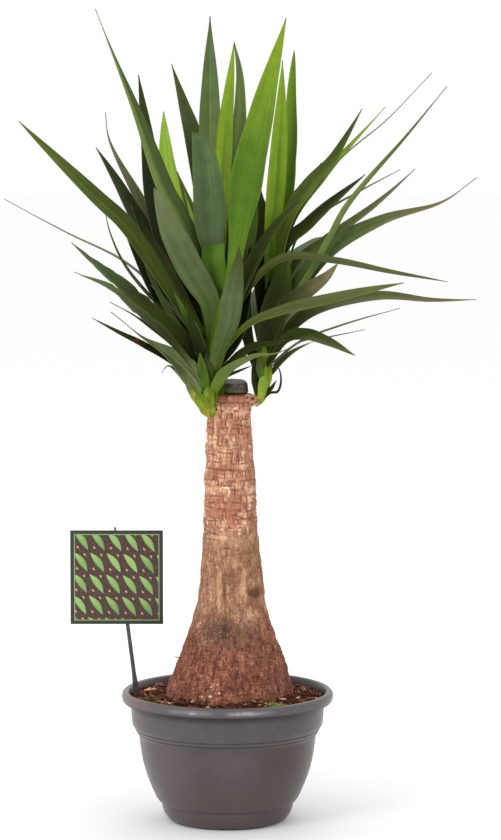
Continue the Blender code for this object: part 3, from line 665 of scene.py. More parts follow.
def waxFinish():
    material, place = newFinish("sealingWax")
    cloudy = speckle(place, 130.0, 4.0, 0.6)
    fine = speckle(place, 900.0, 2.0, 0.5)
    x, y, z = place.parts()
    # painted sheen: the top of the cap lighter than its sides
    top = (z - y * 0.12).between(0.4966, 0.4990)
    patches = cloudy.between(0.35, 0.7)
    colour = painted(
        top.mixed(patches.mixed((46, 36, 34), (76, 62, 58)), patches.mixed((60, 50, 48), (108, 92, 90))),
        (speckle(place, 260.0, 2.0, 0.5).between(0.60, 0.70) * top, (164, 152, 152)),
        # painted reflection of the leaves: the foot of the cap tinted green
        ((1.0 - (z + x * 0.3).between(0.4925, 0.4985)) * 0.85, (90, 104, 50)))
    return dressed(material, colour, cloudy * 0.3 + 0.3, fine + cloudy * 2.0, 0.3, 0.0006)


finishPiece(makeWax(), waxFinish(), "sealing_wax", "wax_cap")
print("wax done")


# soil: a disc with a rough top, and on it crumbs, chips, straws, white grains and moss tufts

soil = {
    "rows": [(0.0, 146.0), (70.0, 145.4), (82.0, 144.8), (92.0, 142.8), (101.0, 141.2), (110.4, 140.2)],
    "edge": 110.6,
    "around": 180,
    "rings": 70,
    "under": [(110.6, 136.0), (107.0, 131.0), (0.0, 131.0)],  # radius and height of the rings below
    "rough": 1.7,
    "chips": 230,
    "paleChips": 44,  # against the foot of the trunk's front and on the left
    "chipReach": 109.6,
    "mossReach": 105.0,
    "strawReach": (74.0, 107.0),
    "crumbs": 900,
    "straws": 60,
    "grains": 26,
    "trunkGrains": [(-20, 163.5), (-12, 166.5), (-9, 157.5), (-19, 153.5), (-30, 152.5)],
    "twig": [((-50, -14, 187.5), (-58.6, -15, 188.6), 0.9),
             ((-57.4, -15, 188.4), (-59.6, -15.6, 190.2), 0.6)],
    "tufts": [(52, -76, 8.0, 170), (60, -72, 5.0, 60), (-78, -52, 6.0, 36), (-90, -36, 4.0, 10),
              (-20, -92, 5.0, 12)],  # middle, spread and number of leaflets
}


def soilHeight(x, y):
    reach = math.hypot(x, y)
    rough = noise.fractal(Vector((x / 8, y / 8, 3.0)), 0.6, 2.1, 4)
    return along(soil["rows"], reach) + soil["rough"] * rough


def makeSoil():
    rings = soil["rings"]
    bed = grid("soilBed", soil["around"], rings + 3)
    for vertex in bed.data.vertices:
        turn = math.pi * vertex.co.x
        row = round((vertex.co.y + 1) / 2 * (rings + 3))
        if row > rings:
            reach, height = soil["under"][row - rings - 1]
            x, y = around(reach, turn)
        else:
            x, y = around(soil["edge"] * (row / rings) ** 0.6, turn)
            height = soilHeight(x, y)
        vertex.co = Vector((x, y, height)) * mm
    return smoothAt(fixNormals(bed, 0.00002), 80)


def soilFinish(name, dark, light, warm):
    material, place = newFinish(name, 0.08)
    x, y, _ = place.parts()
    cloudy = speckle(place, 120.0, 4.0, 0.7)
    grit = speckle(place, 620.0, 3.0, 0.65)
    litStrip = (0.0 - y).between(0.080, 0.092) * (1.0 - abs(x).between(0.04, 0.08))  # painted light on a strip of soil at the front, before the trunk
    colour = painted(grit.between(0.32, 0.7).mixed(dark, light), (cloudy.between(0.5, 0.72) * 0.6, warm),
                     (litStrip * 0.22, (156, 110, 92)))
    return dressed(material, colour, grit * 0.3 + 0.65, grit + cloudy * 1.4, 0.8, 0.0016)


def scattered(draw, low, high):  # a place on the soil between two distances from the middle
    while True:
        turn = draw.uniform(0, math.tau)
        x, y = around(math.sqrt(draw.uniform(low * low, high * high)), turn)
        if math.hypot(x - trunk["footX"], y) > trunkRadius(turn, 146.0) + 0.5:
            return x, y


def turned(axis, angle):
    return Quaternion([float(letter == axis) for letter in "XYZ"], angle)


def onSoil(x, y, lift):
    return Vector((x, y, soilHeight(x, y) + lift))


def strewn(name, blanks, moves):  # one copy of a blank for each move, which places its vertices in mm
    copies = []
    for index, (move, shade) in enumerate(moves):
        piece = ownCopy(blanks[index % len(blanks)], name)
        for vertex in piece.data.vertices:
            vertex.co = move(vertex.co) * mm
        if shade is not None:
            tint(piece, "chipTint", [(shade, shade, shade)] * len(piece.data.vertices))
        copies.append(piece)
    for blank in blanks:
        bpy.data.objects.remove(blank)
    return joinAs(name, copies)


def chipBlank(index):
    blank = fresh("blank", bpy.ops.mesh.primitive_cube_add, size=1)
    openMesh(blank)
    bpy.ops.mesh.subdivide(number_cuts=1, smoothness=0.3)
    closeMesh(blank)
    for vertex in blank.data.vertices:
        vertex.co += noise.noise_vector(vertex.co * 1.7 + Vector((index * 9, 0, 0))) * 0.28
    return blank


def chipMoves():  # bark chips all over, and pale ones at the trunk
    draw = random.Random(21)
    for index in range(soil["chips"] + soil["paleChips"]):
        x, y = scattered(draw, 60, 107)
        pale = index >= soil["chips"]
        if pale:
            turn = draw.uniform(-2.4, -0.8) if index % 3 else draw.uniform(2.7, 3.8)
            x, y = around(trunkRadius(turn, 147.0) + 1.0 if index % 3 else draw.uniform(82, 103), turn)
            x += trunk["footX"]
        long = draw.uniform(3.0, 10.5)
        size = Vector((long, long * draw.uniform(0.3, 0.6), draw.uniform(0.9, 2.2)))
        turn = turned("Z", draw.uniform(0, math.tau)) @ turned("X", draw.uniform(-0.6, 0.6))
        turn = turn @ turned("Y", draw.uniform(-0.5, 0.5))
        middle = onSoil(x, y, draw.uniform(0.2, 1.2) * (1 + 2 * pale))
        shade = draw.random() * (1 - 0.3 * pale) + 0.3 * pale

        def move(corner):
            spot = turn @ (corner * size) + middle
            reach = math.hypot(spot.x, spot.y)
            if reach > soil["chipReach"]:
                spot.xy = spot.xy * soil["chipReach"] / reach
            return spot

        yield move, shade


def crumbMoves():
    draw = random.Random(5)
    for index in range(soil["crumbs"]):
        x, y = scattered(draw, 60, 108)
        size = draw.uniform(0.5, 1.9)
        middle = onSoil(x, y, size * 0.3)
        shift = Vector((index * 1.7, 0, 0))
        yield lambda spot: (spot + noise.noise_vector(spot + shift) * 0.5) * size + middle, None


def strawBlank():
    blank = fresh("blank", bpy.ops.mesh.primitive_cylinder_add, vertices=5, radius=1, depth=1)
    openMesh(blank)
    bpy.ops.mesh.bisect(plane_co=(0, 0, 0), plane_no=(0, 0, 1))
    return closeMesh(blank)


def strawMoves():  # thin dry fibres on the soil, and the broken twig on the trunk's left side
    draw = random.Random(14)
    places = list(soil["twig"])
    for _ in range(soil["straws"]):
        x, y = scattered(draw, 76, 104)
        turn, length = draw.uniform(0, math.tau), draw.uniform(7, 20)
        farX, farY = x + length * math.cos(turn), y + length * math.sin(turn)
        if soil["strawReach"][0] < math.hypot(farX, farY) < soil["strawReach"][1]:
            far = onSoil(farX, farY, draw.uniform(1, 4))
            places.append((onSoil(x, y, 1.2), far, draw.uniform(0.25, 0.5)))
    for start, end, radius in places:
        start, end = Vector(start), Vector(end)
        lean = (end - start).to_track_quat("Z", "Y")
        bow = draw.uniform(-0.08, 0.08) * (end - start).length

        def move(spot):
            share = spot.z + 0.5
            side = Vector((spot.x, spot.y, 0)) * radius * (1 - 0.5 * share)
            side.x += bow * 4 * share * (1 - share)
            return start.lerp(end, share) + lean @ side

        yield move, None


def grainMoves():  # white grains against the foot of the trunk and here and there on the soil
    draw = random.Random(31)
    for index in range(soil["grains"]):
        if index < len(soil["trunkGrains"]):
            size = draw.uniform(0.8, 1.8)
            across, height = soil["trunkGrains"][index]
            turn = -math.pi / 2 + (across - trunk["footX"]) / 74
            x, y = around(trunkRadius(turn, height), turn)
            middle = Vector((x + trunk["footX"], y, height))
        else:
            size = draw.uniform(0.4, 0.8)
            middle = onSoil(*scattered(draw, 66, 105), 1.2)
        shift = Vector((index * 2.3, 0, 0))
        yield lambda spot: spot * (1 + 0.6 * noise.noise(spot * 1.5 + shift)) * size + middle, None


def mossMoves():  # small rounded leaflets in a tuft at the foot of the trunk, and a few elsewhere
    draw = random.Random(17)
    for middleX, middleY, spread, count in soil["tufts"]:
        for _ in range(count):
            x, y = draw.gauss(middleX, spread * 0.5), draw.gauss(middleY, spread * 0.4)
            reach = math.hypot(x, y)
            if reach > soil["mossReach"]:
                x, y = x * soil["mossReach"] / reach, y * soil["mossReach"] / reach
            near = math.exp(-((x - middleX) ** 2 + (y - middleY) ** 2) / spread ** 2)
            middle = onSoil(x, y, draw.uniform(0.6, 1.0 + spread * 0.42 * near))
            lean = turned("Z", draw.uniform(0, math.tau)) @ turned("X", draw.uniform(-1.1, 1.1))
            size = draw.uniform(0.7, 1.5)

            def move(spot):
                cup = 0.35 * spot.length_squared
                return lean @ (Vector((spot.x, spot.y * 0.62, cup)) * size) + middle

            yield move, None


def mossFinish():
    material, place = newFinish("moss", 0.2)
    cloudy = speckle(place, 300.0, 3.0, 0.6)
    colour = cloudy.between(0.35, 0.65).mixed((104, 118, 52), (166, 172, 100))
    colour = speckle(place, 90.0, 2.0, 0.5).between(0.55, 0.7).mixed(colour, (110, 96, 52))
    return dressed(material, colour, cloudy * 0.3 + 0.5, cloudy, 0.4, 0.0004)


def chipFinish():
    material, place = newFinish("barkMulch", 0.18)
    shade = place.named("chipTint", "Fac")
    streaks = speckle(place, 900.0, 3.0, 0.6, (0.4, 1.0, 1.0))
    colour = painted((shade * shade).mixed((66, 36, 25), (158, 102, 74)),
                     (shade.between(0.84, 0.93), (222, 180, 150)),
                     (streaks.between(0.45, 0.7) * 0.5, (92, 54, 36)))
    return dressed(material, colour, streaks * 0.3 + 0.6, streaks, 0.5, 0.0006)


finishPiece(makeSoil(), soilFinish("moistPeat", (34, 19, 13), (78, 45, 30), (104, 56, 36)), "soil", "soil")
ball = fresh("blank", bpy.ops.mesh.primitive_ico_sphere_add, subdivisions=1, radius=1)
crumbs = smoothAt(strewn("peatCrumbs", [ball], crumbMoves()), 30)
finishPiece(crumbs, soilFinish("peatCrumb", (44, 25, 17), (104, 60, 40), (132, 74, 48)), "soil")
chips = smoothAt(strewn("barkChips", [chipBlank(index) for index in range(4)], chipMoves()), 25)
finishPiece(chips, chipFinish(), "soil")
straws = smoothAt(strewn("dryStraws", [strawBlank()], strawMoves()), 60)
finishPiece(straws, soilFinish("dryStraw", (96, 66, 46), (176, 138, 100), (140, 104, 72)), "soil")
ball = fresh("blank", bpy.ops.mesh.primitive_ico_sphere_add, subdivisions=2, radius=1)
grains = smoothAt(strewn("whiteGrains", [ball], grainMoves()), 40)
finishPiece(grains, soilFinish("whiteGrain", (244, 226, 212), (255, 250, 244), (255, 236, 222)), "soil")
disc = fresh("blank", bpy.ops.mesh.primitive_circle_add, vertices=6, radius=1, fill_type="TRIFAN")
moss = smoothAt(thicken(strewn("mossTufts", [disc], mossMoves()), 0.25), 50)
finishPiece(moss, mossFinish(), "soil")
print("soil done")


# crowns: every leaf is one blade blank laid along its own path from the shoot

# painted shade and sheen in the tones: ink and night colour leaves that lie in deep shade, some of them put
# in to fill the shade between others, and mist, silver and grey hold a painted sheen
toneColours = {
    "ink": (20, 27, 9), "night": (36, 45, 16), "dark": (52, 63, 23), "deep": (64, 78, 28),
    "mid": (82, 100, 38), "green": (78, 110, 28), "bright": (98, 126, 30), "young": (122, 150, 38),
    "lime": (146, 177, 60), "moss": (70, 76, 36), "silver": (108, 120, 80), "grey": (84, 102, 64),
    "pale": (96, 114, 60), "olive": (88, 95, 52), "dusty": (114, 108, 76), "straw": (152, 143, 104),
    "sheath": (122, 142, 40), "cream": (176, 170, 76), "mist": (134, 146, 98), "sage": (76, 92, 50),
}

crown = {
    "viewpoint": (26.0, -4000.0, 900.0),
    "strips": 8,
    "stations": 44,
    "thickness": 0.8,
    "fold": 15.0,
    "rootWidth": 0.42,
    "widening": 1.4,  # above 1.4 a leaf stays narrow for longer
    "tipWidth": 0.5,
    "threadWidth": 12.0,
    "threadFold": 4.0,
    "farBack": 145.0,
    # height, x, depth and radius of each shoot, from its root to its tip
    "leftShoot": [(462, -18, -16, 2.4), (472, -20, -20, 7.4), (488, -21, -24, 10.0), (510, -19, -24, 10.6),
                  (545, -15, -20, 9.0), (580, -11, -15, 7.0), (612, -9, -12, 2.0)],
    "rightShoot": [(472, 33, 4, 3.0), (480, 37, 6, 6.0), (492, 39, 7, 8.4), (513, 40, 8, 9.8),
                   (550, 43, 9, 8.6), (590, 46, 10, 6.6), (625, 49, 10, 2.0)],
}

# each leaf: height of its root, widest width, tilt at root and tip, where it is widest, how slender its
# outer part is, its tones from root to tip with the kind of its midrib or edge, how much lighter its left
# half is painted than its right, as painted light and shade on the two sides of its fold, the points that
# it is seen to pass through, each as x, depth and z in mm in the plane y = 0 of the camera's view, which
# edge stays straight to the tip, -1 for the left one, and how long it stays narrow
crown["leftLeaves"] = [
    (545, 25, (20, 70), 0.5, 1.8, "deep pale pale", 0.42,
     (-34, -26, 642, -53, -36, 689, -72, -44, 723, -104, -50, 810, -147, -46, 919)),
    (540, 28, (40, 30), 0.5, 1, "ink night dark", 0,
     (-58, 10, 620, -81, 45, 700, -89, 80, 770, -99, 110, 846)),
    (575, 22, (20, 10), 0.62, 0.9, "deep lime lime", 0.05,
     (-40, -4, 665, -61, 8, 720, -67, 14, 742, -69.5, 20, 770, -71, 30, 805)),
    (580, 26, (20, 35), 0.55, 1.1, "deep dark deep", 0.06,
     (-23, 15, 690, -38, 60, 775, -49, 100, 815, -62, 130, 858)),
    (535, 37, (10, 0), 0.62, 0.35, "green grey grey", -0.06,
     (-13, -16, 625, -18, -28, 662, -20, -36, 700, -21, -60, 783), -1, 12),
    (585, 26, (0, 0), 0.6, 1.1, "mid pale grey ribbed", -0.08, (-17, 10, 700, -19, 30, 800, -19, 50, 911)),
    (590, 20, (10, 10), 0.55, 1, "mid young young folded", 0.08,
     (-7, 0, 700, -3, 8, 770, 2, 12, 825, 8, 14, 882)),
    (585, 22, (40, 40), 0.6, 1, "mid pale pale", 0, (4, 20, 700, 14, 40, 780, 15, 55, 840, 8, 66, 882)),
    (548, 38, (-5, 25), 0.5, 1, "bright green young", 0.04,
     (2, -44, 600, 7, -50, 627, 11, -52, 655, 19, -54, 712, 36, -60, 792, 66, -66, 909), 0, 11),
    (500, 25, (175, 170), 0.5, 1.15, "mid grey moss", 0,
     (-14, -44, 517, -10, -48, 534, -3, -62, 554, 3, -85, 575, 6, -115, 604, 5, -150, 634, 1, -184, 650), -1),
    (525, 28, (60, 48), 0.5, 1, "deep deep mid ribbed", 0.12,
     (-43, -36, 567, -70, -56, 611, -98, -78, 656, -119, -95, 683, -151, -118, 712, -233, -160, 794)),
    (545, 30, (50, 55), 0.5, 1, "ink night dark", 0,
     (-60, 10, 620, -95, 40, 675, -120, 60, 720, -147, 80, 765)),
    (550, 28, (50, 56), 0.38, 1.8, "deep olive dusty", 0,
     (-60, 30, 625, -97, 70, 702, -121, 105, 748, -133, 126, 777, -136, 140, 804)),
    (505, 25, (56, 58), 0.6, 1.2, "night dark grey ragged", 0.05,
     (-60, -60, 558, -88, -80, 584, -114, -100, 605, -144, -120, 631, -175, -135, 658)),
    (500, 28, (60, 70), 0.5, 1.4, "mist silver silver ragged", 0,
     (-62, -35, 549, -95, -52, 577, -130, -66, 606, -172, -78, 625)),
    (496, 13, (60, 75), 0.35, 1.8, "mist dark night", 0,
     (-55, -85, 537, -88, -115, 563, -108, -130, 578, -132, -145, 591)),
    (486, 12, (60, 65), 0.55, 1.2, "pale night dark", 0,
     (-60, -50, 522, -95, -75, 543, -120, -90, 556, -152, -105, 573)),
    (472, 31, (10, 95), 0.34, 3.4, "mist silver dusty ribbed", -0.12,
     (-34, -44, 500, -62, -60, 529, -95, -76, 551, -131, -90, 580)),
    (474, 8, (60, 60), 0.4, 1.4, "young olive dusty", 0,
     (-40, -36, 494, -58, -48, 513, -67, -54, 519, -74, -58, 511)),
    (530, 9, (70, 70), 0.4, 1.4, "night olive olive", 0,
     (-75, -5, 585, -112, 0, 628, -130, 4, 665, -139, 6, 702)),
    (535, 10, (80, 80), 0.3, 1.8, "dark dusty olive", 0,
     (-80, 10, 605, -122, 30, 641, -180, 55, 669, -250, 80, 707)),
    (525, 30, (50, 55), 0.5, 1, "dark night dark", 0,
     (-50, 0, 558, -82, 10, 608, -100, 15, 645, -120, 20, 685)),
    (520, 22, (78, 50), 0.55, 1.1, "bright olive olive", 0,
     (20, -62, 562, 60, -92, 581, 120, -132, 595, 199, -176, 613)),
    (540, 14, (60, 50), 0.32, 0.9, "deep moss olive", 0.1,
     (25, -42, 607, 65, -68, 641, 121, -96, 638, 184, -128, 625, 248, -156, 614)),
    (484, 24, (130, 110), 0.25, 2.6, "bright pale dusty", 0,
     (0, -55, 512, 28, -78, 529, 55, -98, 533, 85, -115, 547)),
    (505, 17, (60, 60), 0.45, 1.2, "dark dark dark", 0,
     (8, -40, 526, 19, -51, 534, 30, -62, 540, 50, -78, 544, 70, -90, 550)),
    (540, 26, (50, 50), 0.5, 1, "mid moss night", 0,
     (-42, -20, 575, -62, -28, 612, -85, -30, 655, -108, -30, 700)),
    (535, 28, (58, 60), 0.5, 1, "night dark dark", 0,
     (14, -34, 600, 34, -36, 644, 56, -38, 678, 84, -36, 708)),
    (560, 24, (20, 20), 0.55, 1, "olive dark green", 0, (8, -12, 620, 24, -16, 668, 34, -20, 716)),
    (500, 14, (40, 40), 0.5, 1, "night night dark", 0, (-31, -46, 536, -40, -56, 565, -46, -62, 592)),
    (515, 22, (40, 40), 0.5, 0.8, "ink night ink", 0,
     (8, -16, 546, 17, -20, 580, 23, -22, 618, 26, -22, 655)),
    (520, 30, (30, 30), 0.5, 1, "ink ink night", 0, (-34, -6, 560, -47, 0, 600, -57, 6, 645, -66, 10, 690)),
    (488, 7, (60, 60), 0.4, 1, "night dark night", 0, (-4, -34, 505, 13, -40, 513, 27, -44, 519)),
    (585, 28, (0, 0), 0.55, 1, "deep mid pale", 0, (-17, 40, 690, -20, 84, 780, -19, 120, 852)),
    (575, 30, (0, 0), 0.5, 1.1, "mid deep mid", 0.1, (3, 60, 668, 8, 130, 742, 9, 190, 796)),
    (565, 32, (0, 0), 0.45, 1, "deep grey pale", 0, (-40, 60, 645, -65, 120, 706, -83, 165, 742)),
    (560, 34, (0, 0), 0.5, 0.9, "deep mid grey", 0, (-22, 90, 640, -34, 165, 686, -42, 222, 698)),
    (555, 30, (0, 0), 0.5, 1.2, "mid mid pale", -0.1, (10, 85, 620, 25, 150, 660, 34, 205, 684)),
    (545, 30, (0, 0), 0.45, 1.1, "deep deep mid", 0, (-60, 64, 606, -96, 124, 652, -114, 176, 672)),
    (535, 33, (0, 0), 0.5, 0.9, "deep grey mid", 0.1, (-46, 90, 576, -74, 160, 600, -94, 212, 592)),
    (528, 30, (0, 0), 0.5, 1.3, "deep mid olive", 0, (-4, 90, 580, 2, 178, 606, 5, 243, 592)),
    (512, 30, (0, 0), 0.45, 1, "olive deep mid", 0, (-32, 70, 533, -46, 130, 541, -60, 178, 530)),
    (500, 26, (0, 0), 0.5, 1.2, "pale mid deep", 0, (-14, 76, 520, -8, 140, 524, -4, 192, 506)),
    (463, 18, (0, 0), 0.35, 0.9, "cream sheath green", 0.12, (-23, -33, 473, -21, -38, 487, -19, -40, 506)),
    (494, 12, (0, 0), 0.5, 1, "mid deep ink", 0, (-21, -42, 508, -22, -46, 522, -23, -44, 542)),
    (490, 12, (0, 0), 0.5, 0.8, "bright green mid", 0, (-26, -44, 500, -28, -48, 514, -31, -48, 534)),
    (476, 10, (40, 50), 0.5, 1.1, "sheath cream olive", 0,
     (-36, -48, 482, -41, -53, 489, -45, -56, 496, -48, -58, 504)),
    (528, 9, (20, 20), 0.5, 1, "mid green mid", 0,
     (-36, -44, 561, -45, -51, 574, -53, -58, 589, -61, -64, 604)),
    (463, 13, (0, 10), 0.45, 1, "sheath bright green", 0, (-18, -30, 478, -16, -33, 496, -13, -32, 522)),
    (470, 18, (40, 40), 0.45, 1.2, "sheath green deep", 0.1, (-35, -30, 490, -44, -34, 512, -50, -36, 540)),
    (465, 20, (0, 0), 0.42, 1, "sheath bright mid", 0, (-19, -6, 484, -19, -2, 512, -18, 2, 544)),
    (466, 18, (0, 0), 0.42, 1.1, "sheath mid deep", 0, (-30, -10, 486, -38, -4, 512, -44, 2, 542)),
    (466, 14, (0, 0), 0.42, 1.1, "sheath mid deep", 0, (-11, -12, 486, -8, -6, 510, -6, 0, 538)),
    (545, 32, (0, 0), 0.55, 0.8, "mid grey silver", 0,
     (-18, -34, 586, -31, -42, 612, -44, -48, 634, -56, -52, 658, -67, -56, 682, -82, -58, 720)),
    (560, 27, (0, 0), 0.75, 0.4, "deep green green", -0.25,
     (-9, -27, 592, -12, -31, 615, -15, -33, 638, -16, -26, 655, -16, -12, 680)),
    (575, 16, (20, 20), 0.5, 1, "deep green olive", 0, (-33, 0, 668, -42, 4, 698, -49, 8, 718, -56, 12, 738)),
    (530, 8, (40, 40), 0.45, 1, "night pale grey", 0,
     (-52, -30, 560, -73, -44, 594, -86, -54, 620, -98, -62, 651)),
    (464, 15, (30, 40), 0.5, 1, "cream sheath green", 0.12,
     (-27, -42, 474, -34, -47, 483, -40, -51, 492, -45, -53, 504)),
]
crown["rightLeaves"] = [
    (590, 15, (10, 10), 0.6, 0.7, "deep green bright", 0.1,
     (62, 16, 680, 71, 30, 760, 72, 45, 820, 75, 55, 873)),
    (595, 22, (10, 10), 0.5, 1, "green young young folded", 0.06,
     (50, 4, 665, 56, 8, 730, 60, 12, 800, 62, 14, 862)),
    (575, 25, (50, 55), 0.5, 1.1, "bright mid deep", -0.14,
     (66, -6, 678, 95, -14, 724, 122, -22, 756, 151, -30, 808)),
    (580, 20, (60, 70), 0.5, 1.5, "dark bright young", 0,
     (72, 22, 680, 110, 45, 733, 148, 65, 778, 177, 80, 810)),
    (575, 9, (80, 80), 0.3, 1.8, "pale silver silver", 0,
     (80, 45, 700, 130, 80, 755, 180, 115, 797, 229, 140, 848)),
    (570, 17, (60, 60), 0.55, 1, "dark dark night", 0,
     (60, 18, 670, 84, 30, 708, 103, 38, 734, 123, 44, 758)),
    (560, 26, (60, 60), 0.55, 1.1, "dark deep dark", -0.24,
     (62, 2, 647, 92, 6, 679, 125, 10, 709, 155, 14, 735)),
    (545, 9, (40, 50), 0.4, 1.3, "mid pale olive", 0,
     (68, -42, 585, 94, -60, 626, 115, -70, 664, 139, -78, 706, 200, -98, 777, 246, -116, 833)),
    (555, 9, (80, 80), 0.6, 1.2, "dark night dusty", 0,
     (78, 14, 662, 110, 22, 693, 145, 32, 714, 194, 42, 740)),
    (550, 19, (60, 62), 0.5, 1.3, "dark olive dusty", -0.14,
     (75, -4, 630, 112, -10, 661, 162, -15, 697, 211, -20, 741)),
    (535, 33, (50, 62), 0.38, 2.1, "deep sage dusty", -0.12,
     (75, -30, 600, 118, -54, 652, 175, -80, 683, 238, -108, 702, 280, -130, 731)),
    (535, 22, (35, 35), 0.62, 0.8, "night dark dusty", -0.1,
     (62, -50, 580, 90, -76, 603, 110, -92, 618, 124, -100, 634)),
    (520, 23, (50, 66), 0.3, 1.1, "dark olive dusty", 0,
     (75, 20, 565, 110, 30, 587, 170, 48, 598, 228, 62, 593, 280, 75, 594)),
    (525, 32, (10, 10), 0.5, 0.9, "night dark deep", -0.25, (53, -16, 578, 62, -30, 612, 69, -40, 643)),
    (550, 28, (20, 20), 0.55, 1, "ink night dark", 0, (40, 20, 640, 38, 30, 680, 38, 40, 718)),
    (515, 20, (60, 50), 0.6, 1, "dark deep olive", 0.08,
     (66, -40, 549, 90, -58, 554, 115, -72, 545, 144, -85, 531)),
    (515, 8, (80, 80), 0.3, 1.4, "dusty olive dusty", 0, (80, 30, 545, 125, 45, 564, 194, 65, 584)),
    (510, 7, (80, 80), 0.3, 1.4, "dusty olive dusty", 0, (80, 40, 545, 112, 50, 551, 155, 60, 560)),
    (500, 10, (60, 60), 0.4, 1.4, "deep olive straw", 0, (58, -8, 521, 75, -16, 536, 98, -22, 547)),
    (478, 4, (60, 60), 0.4, 0.6, "dark dark dark", 0,
     (48, 0, 488, 56.5, -1, 489.5, 60, -2, 497, 60.5, -2, 508, 57.6, -3, 518)),
    (498, 16, (30, 30), 0.5, 1, "ink night night", 0, (31, 5, 522, 21, 6, 560, 20, 8, 600, 19, 10, 645)),
    (590, 26, (0, 0), 0.55, 1, "deep green mid", 0, (60, 44, 690, 67, 84, 765, 70, 116, 820)),
    (580, 17, (0, 0), 0.5, 1.1, "mid deep mid", 0, (62, 60, 678, 87, 112, 723, 106, 150, 748)),
    (575, 30, (0, 0), 0.45, 1, "deep mid pale", 0.1, (42, 70, 646, 38, 140, 694, 35, 190, 716)),
    (565, 30, (0, 0), 0.5, 0.9, "mid grey mid", 0, (76, 66, 632, 102, 128, 658, 122, 176, 664)),
    (560, 30, (0, 0), 0.5, 1.2, "deep mid grey", 0, (54, 90, 612, 62, 172, 646, 66, 236, 652)),
    (545, 30, (0, 0), 0.45, 1, "mid pale mid", -0.1, (76, 76, 574, 98, 140, 590, 114, 192, 584)),
    (535, 32, (0, 0), 0.5, 1.1, "deep mid olive", 0, (41, 70, 574, 39, 132, 602, 37, 182, 612)),
    (525, 28, (0, 0), 0.5, 0.9, "olive mid deep", 0, (58, 90, 556, 70, 164, 570, 80, 222, 560)),
    (510, 26, (0, 0), 0.5, 1.2, "pale mid deep", 0, (44, 66, 528, 46, 124, 538, 48, 170, 528)),
    (476, 11, (0, 10), 0.5, 0.9, "cream lime young", 0.1, (39, -3, 488, 41, -5, 502, 44, -5, 520)),
    (476, 10, (20, 30), 0.45, 1, "dark night dark", 0, (34, -1, 490, 31, -3, 508, 30, -3, 530)),
    (490, 9, (10, 20), 0.45, 1, "cream sheath green", 0, (45, -4, 500, 47, -5, 512, 50, -4, 528)),
    (498, 8, (10, 10), 0.5, 1, "deep mid deep", 0, (38, -6, 508, 36, -8, 520, 37, -8, 536)),
    (486, 6, (40, 40), 0.4, 1, "deep dark dark", 0, (48, -4, 492, 52, -5, 497, 55.5, -5, 503)),
    (480, 14, (0, 0), 0.42, 1, "sheath bright mid", 0, (41, 16, 494, 44, 20, 514, 46, 24, 540)),
]


def seenAt(point):  # the place at its depth that the camera sees at (x, z) of the plane y = 0
    eye = Vector(crown["viewpoint"])
    sight = Vector((point[0], 0, point[2])) - eye
    return eye + sight * (1 - point[1] / eye.y)


def shootPoint(shoot, height):
    return Vector((along(shoot, height), along(shoot, height, 2), height)), along(shoot, height, 3)


def bladeWidth(share, widest, slender, late):
    if share < widest:
        root = crown["rootWidth"]
        return root + (1 - root) * math.sin(share / widest * math.pi / 2) ** late
    return max(1 - ((share - widest) / (1 - widest)) ** 1.7, 0.0) ** slender


def toneAt(names, share):
    root, middle, tip = [Vector(linear(*toneColours[name])) for name in names.split()[:3]]
    colour = root.lerp(middle, ease(0.05, 0.45, share))
    return colour.lerp(tip, ease(0.5, 0.95, share))


def framesOf(path, facing, turn, tilts):  # at each station: its place, the way across and the way up
    frames = []
    last = len(path) - 1
    for index, spot in enumerate(path):
        ahead = (path[min(index + 1, last)] - path[max(index - 1, 0)]).normalized()
        normal = (facing - ahead * facing.dot(ahead)).normalized()
        tilt = turn * (tilts[0] + (tilts[1] - tilts[0]) * index / last)
        normal.rotate(Quaternion(ahead, math.radians(tilt)))
        frames.append((spot, ahead.cross(normal), normal))
    return frames


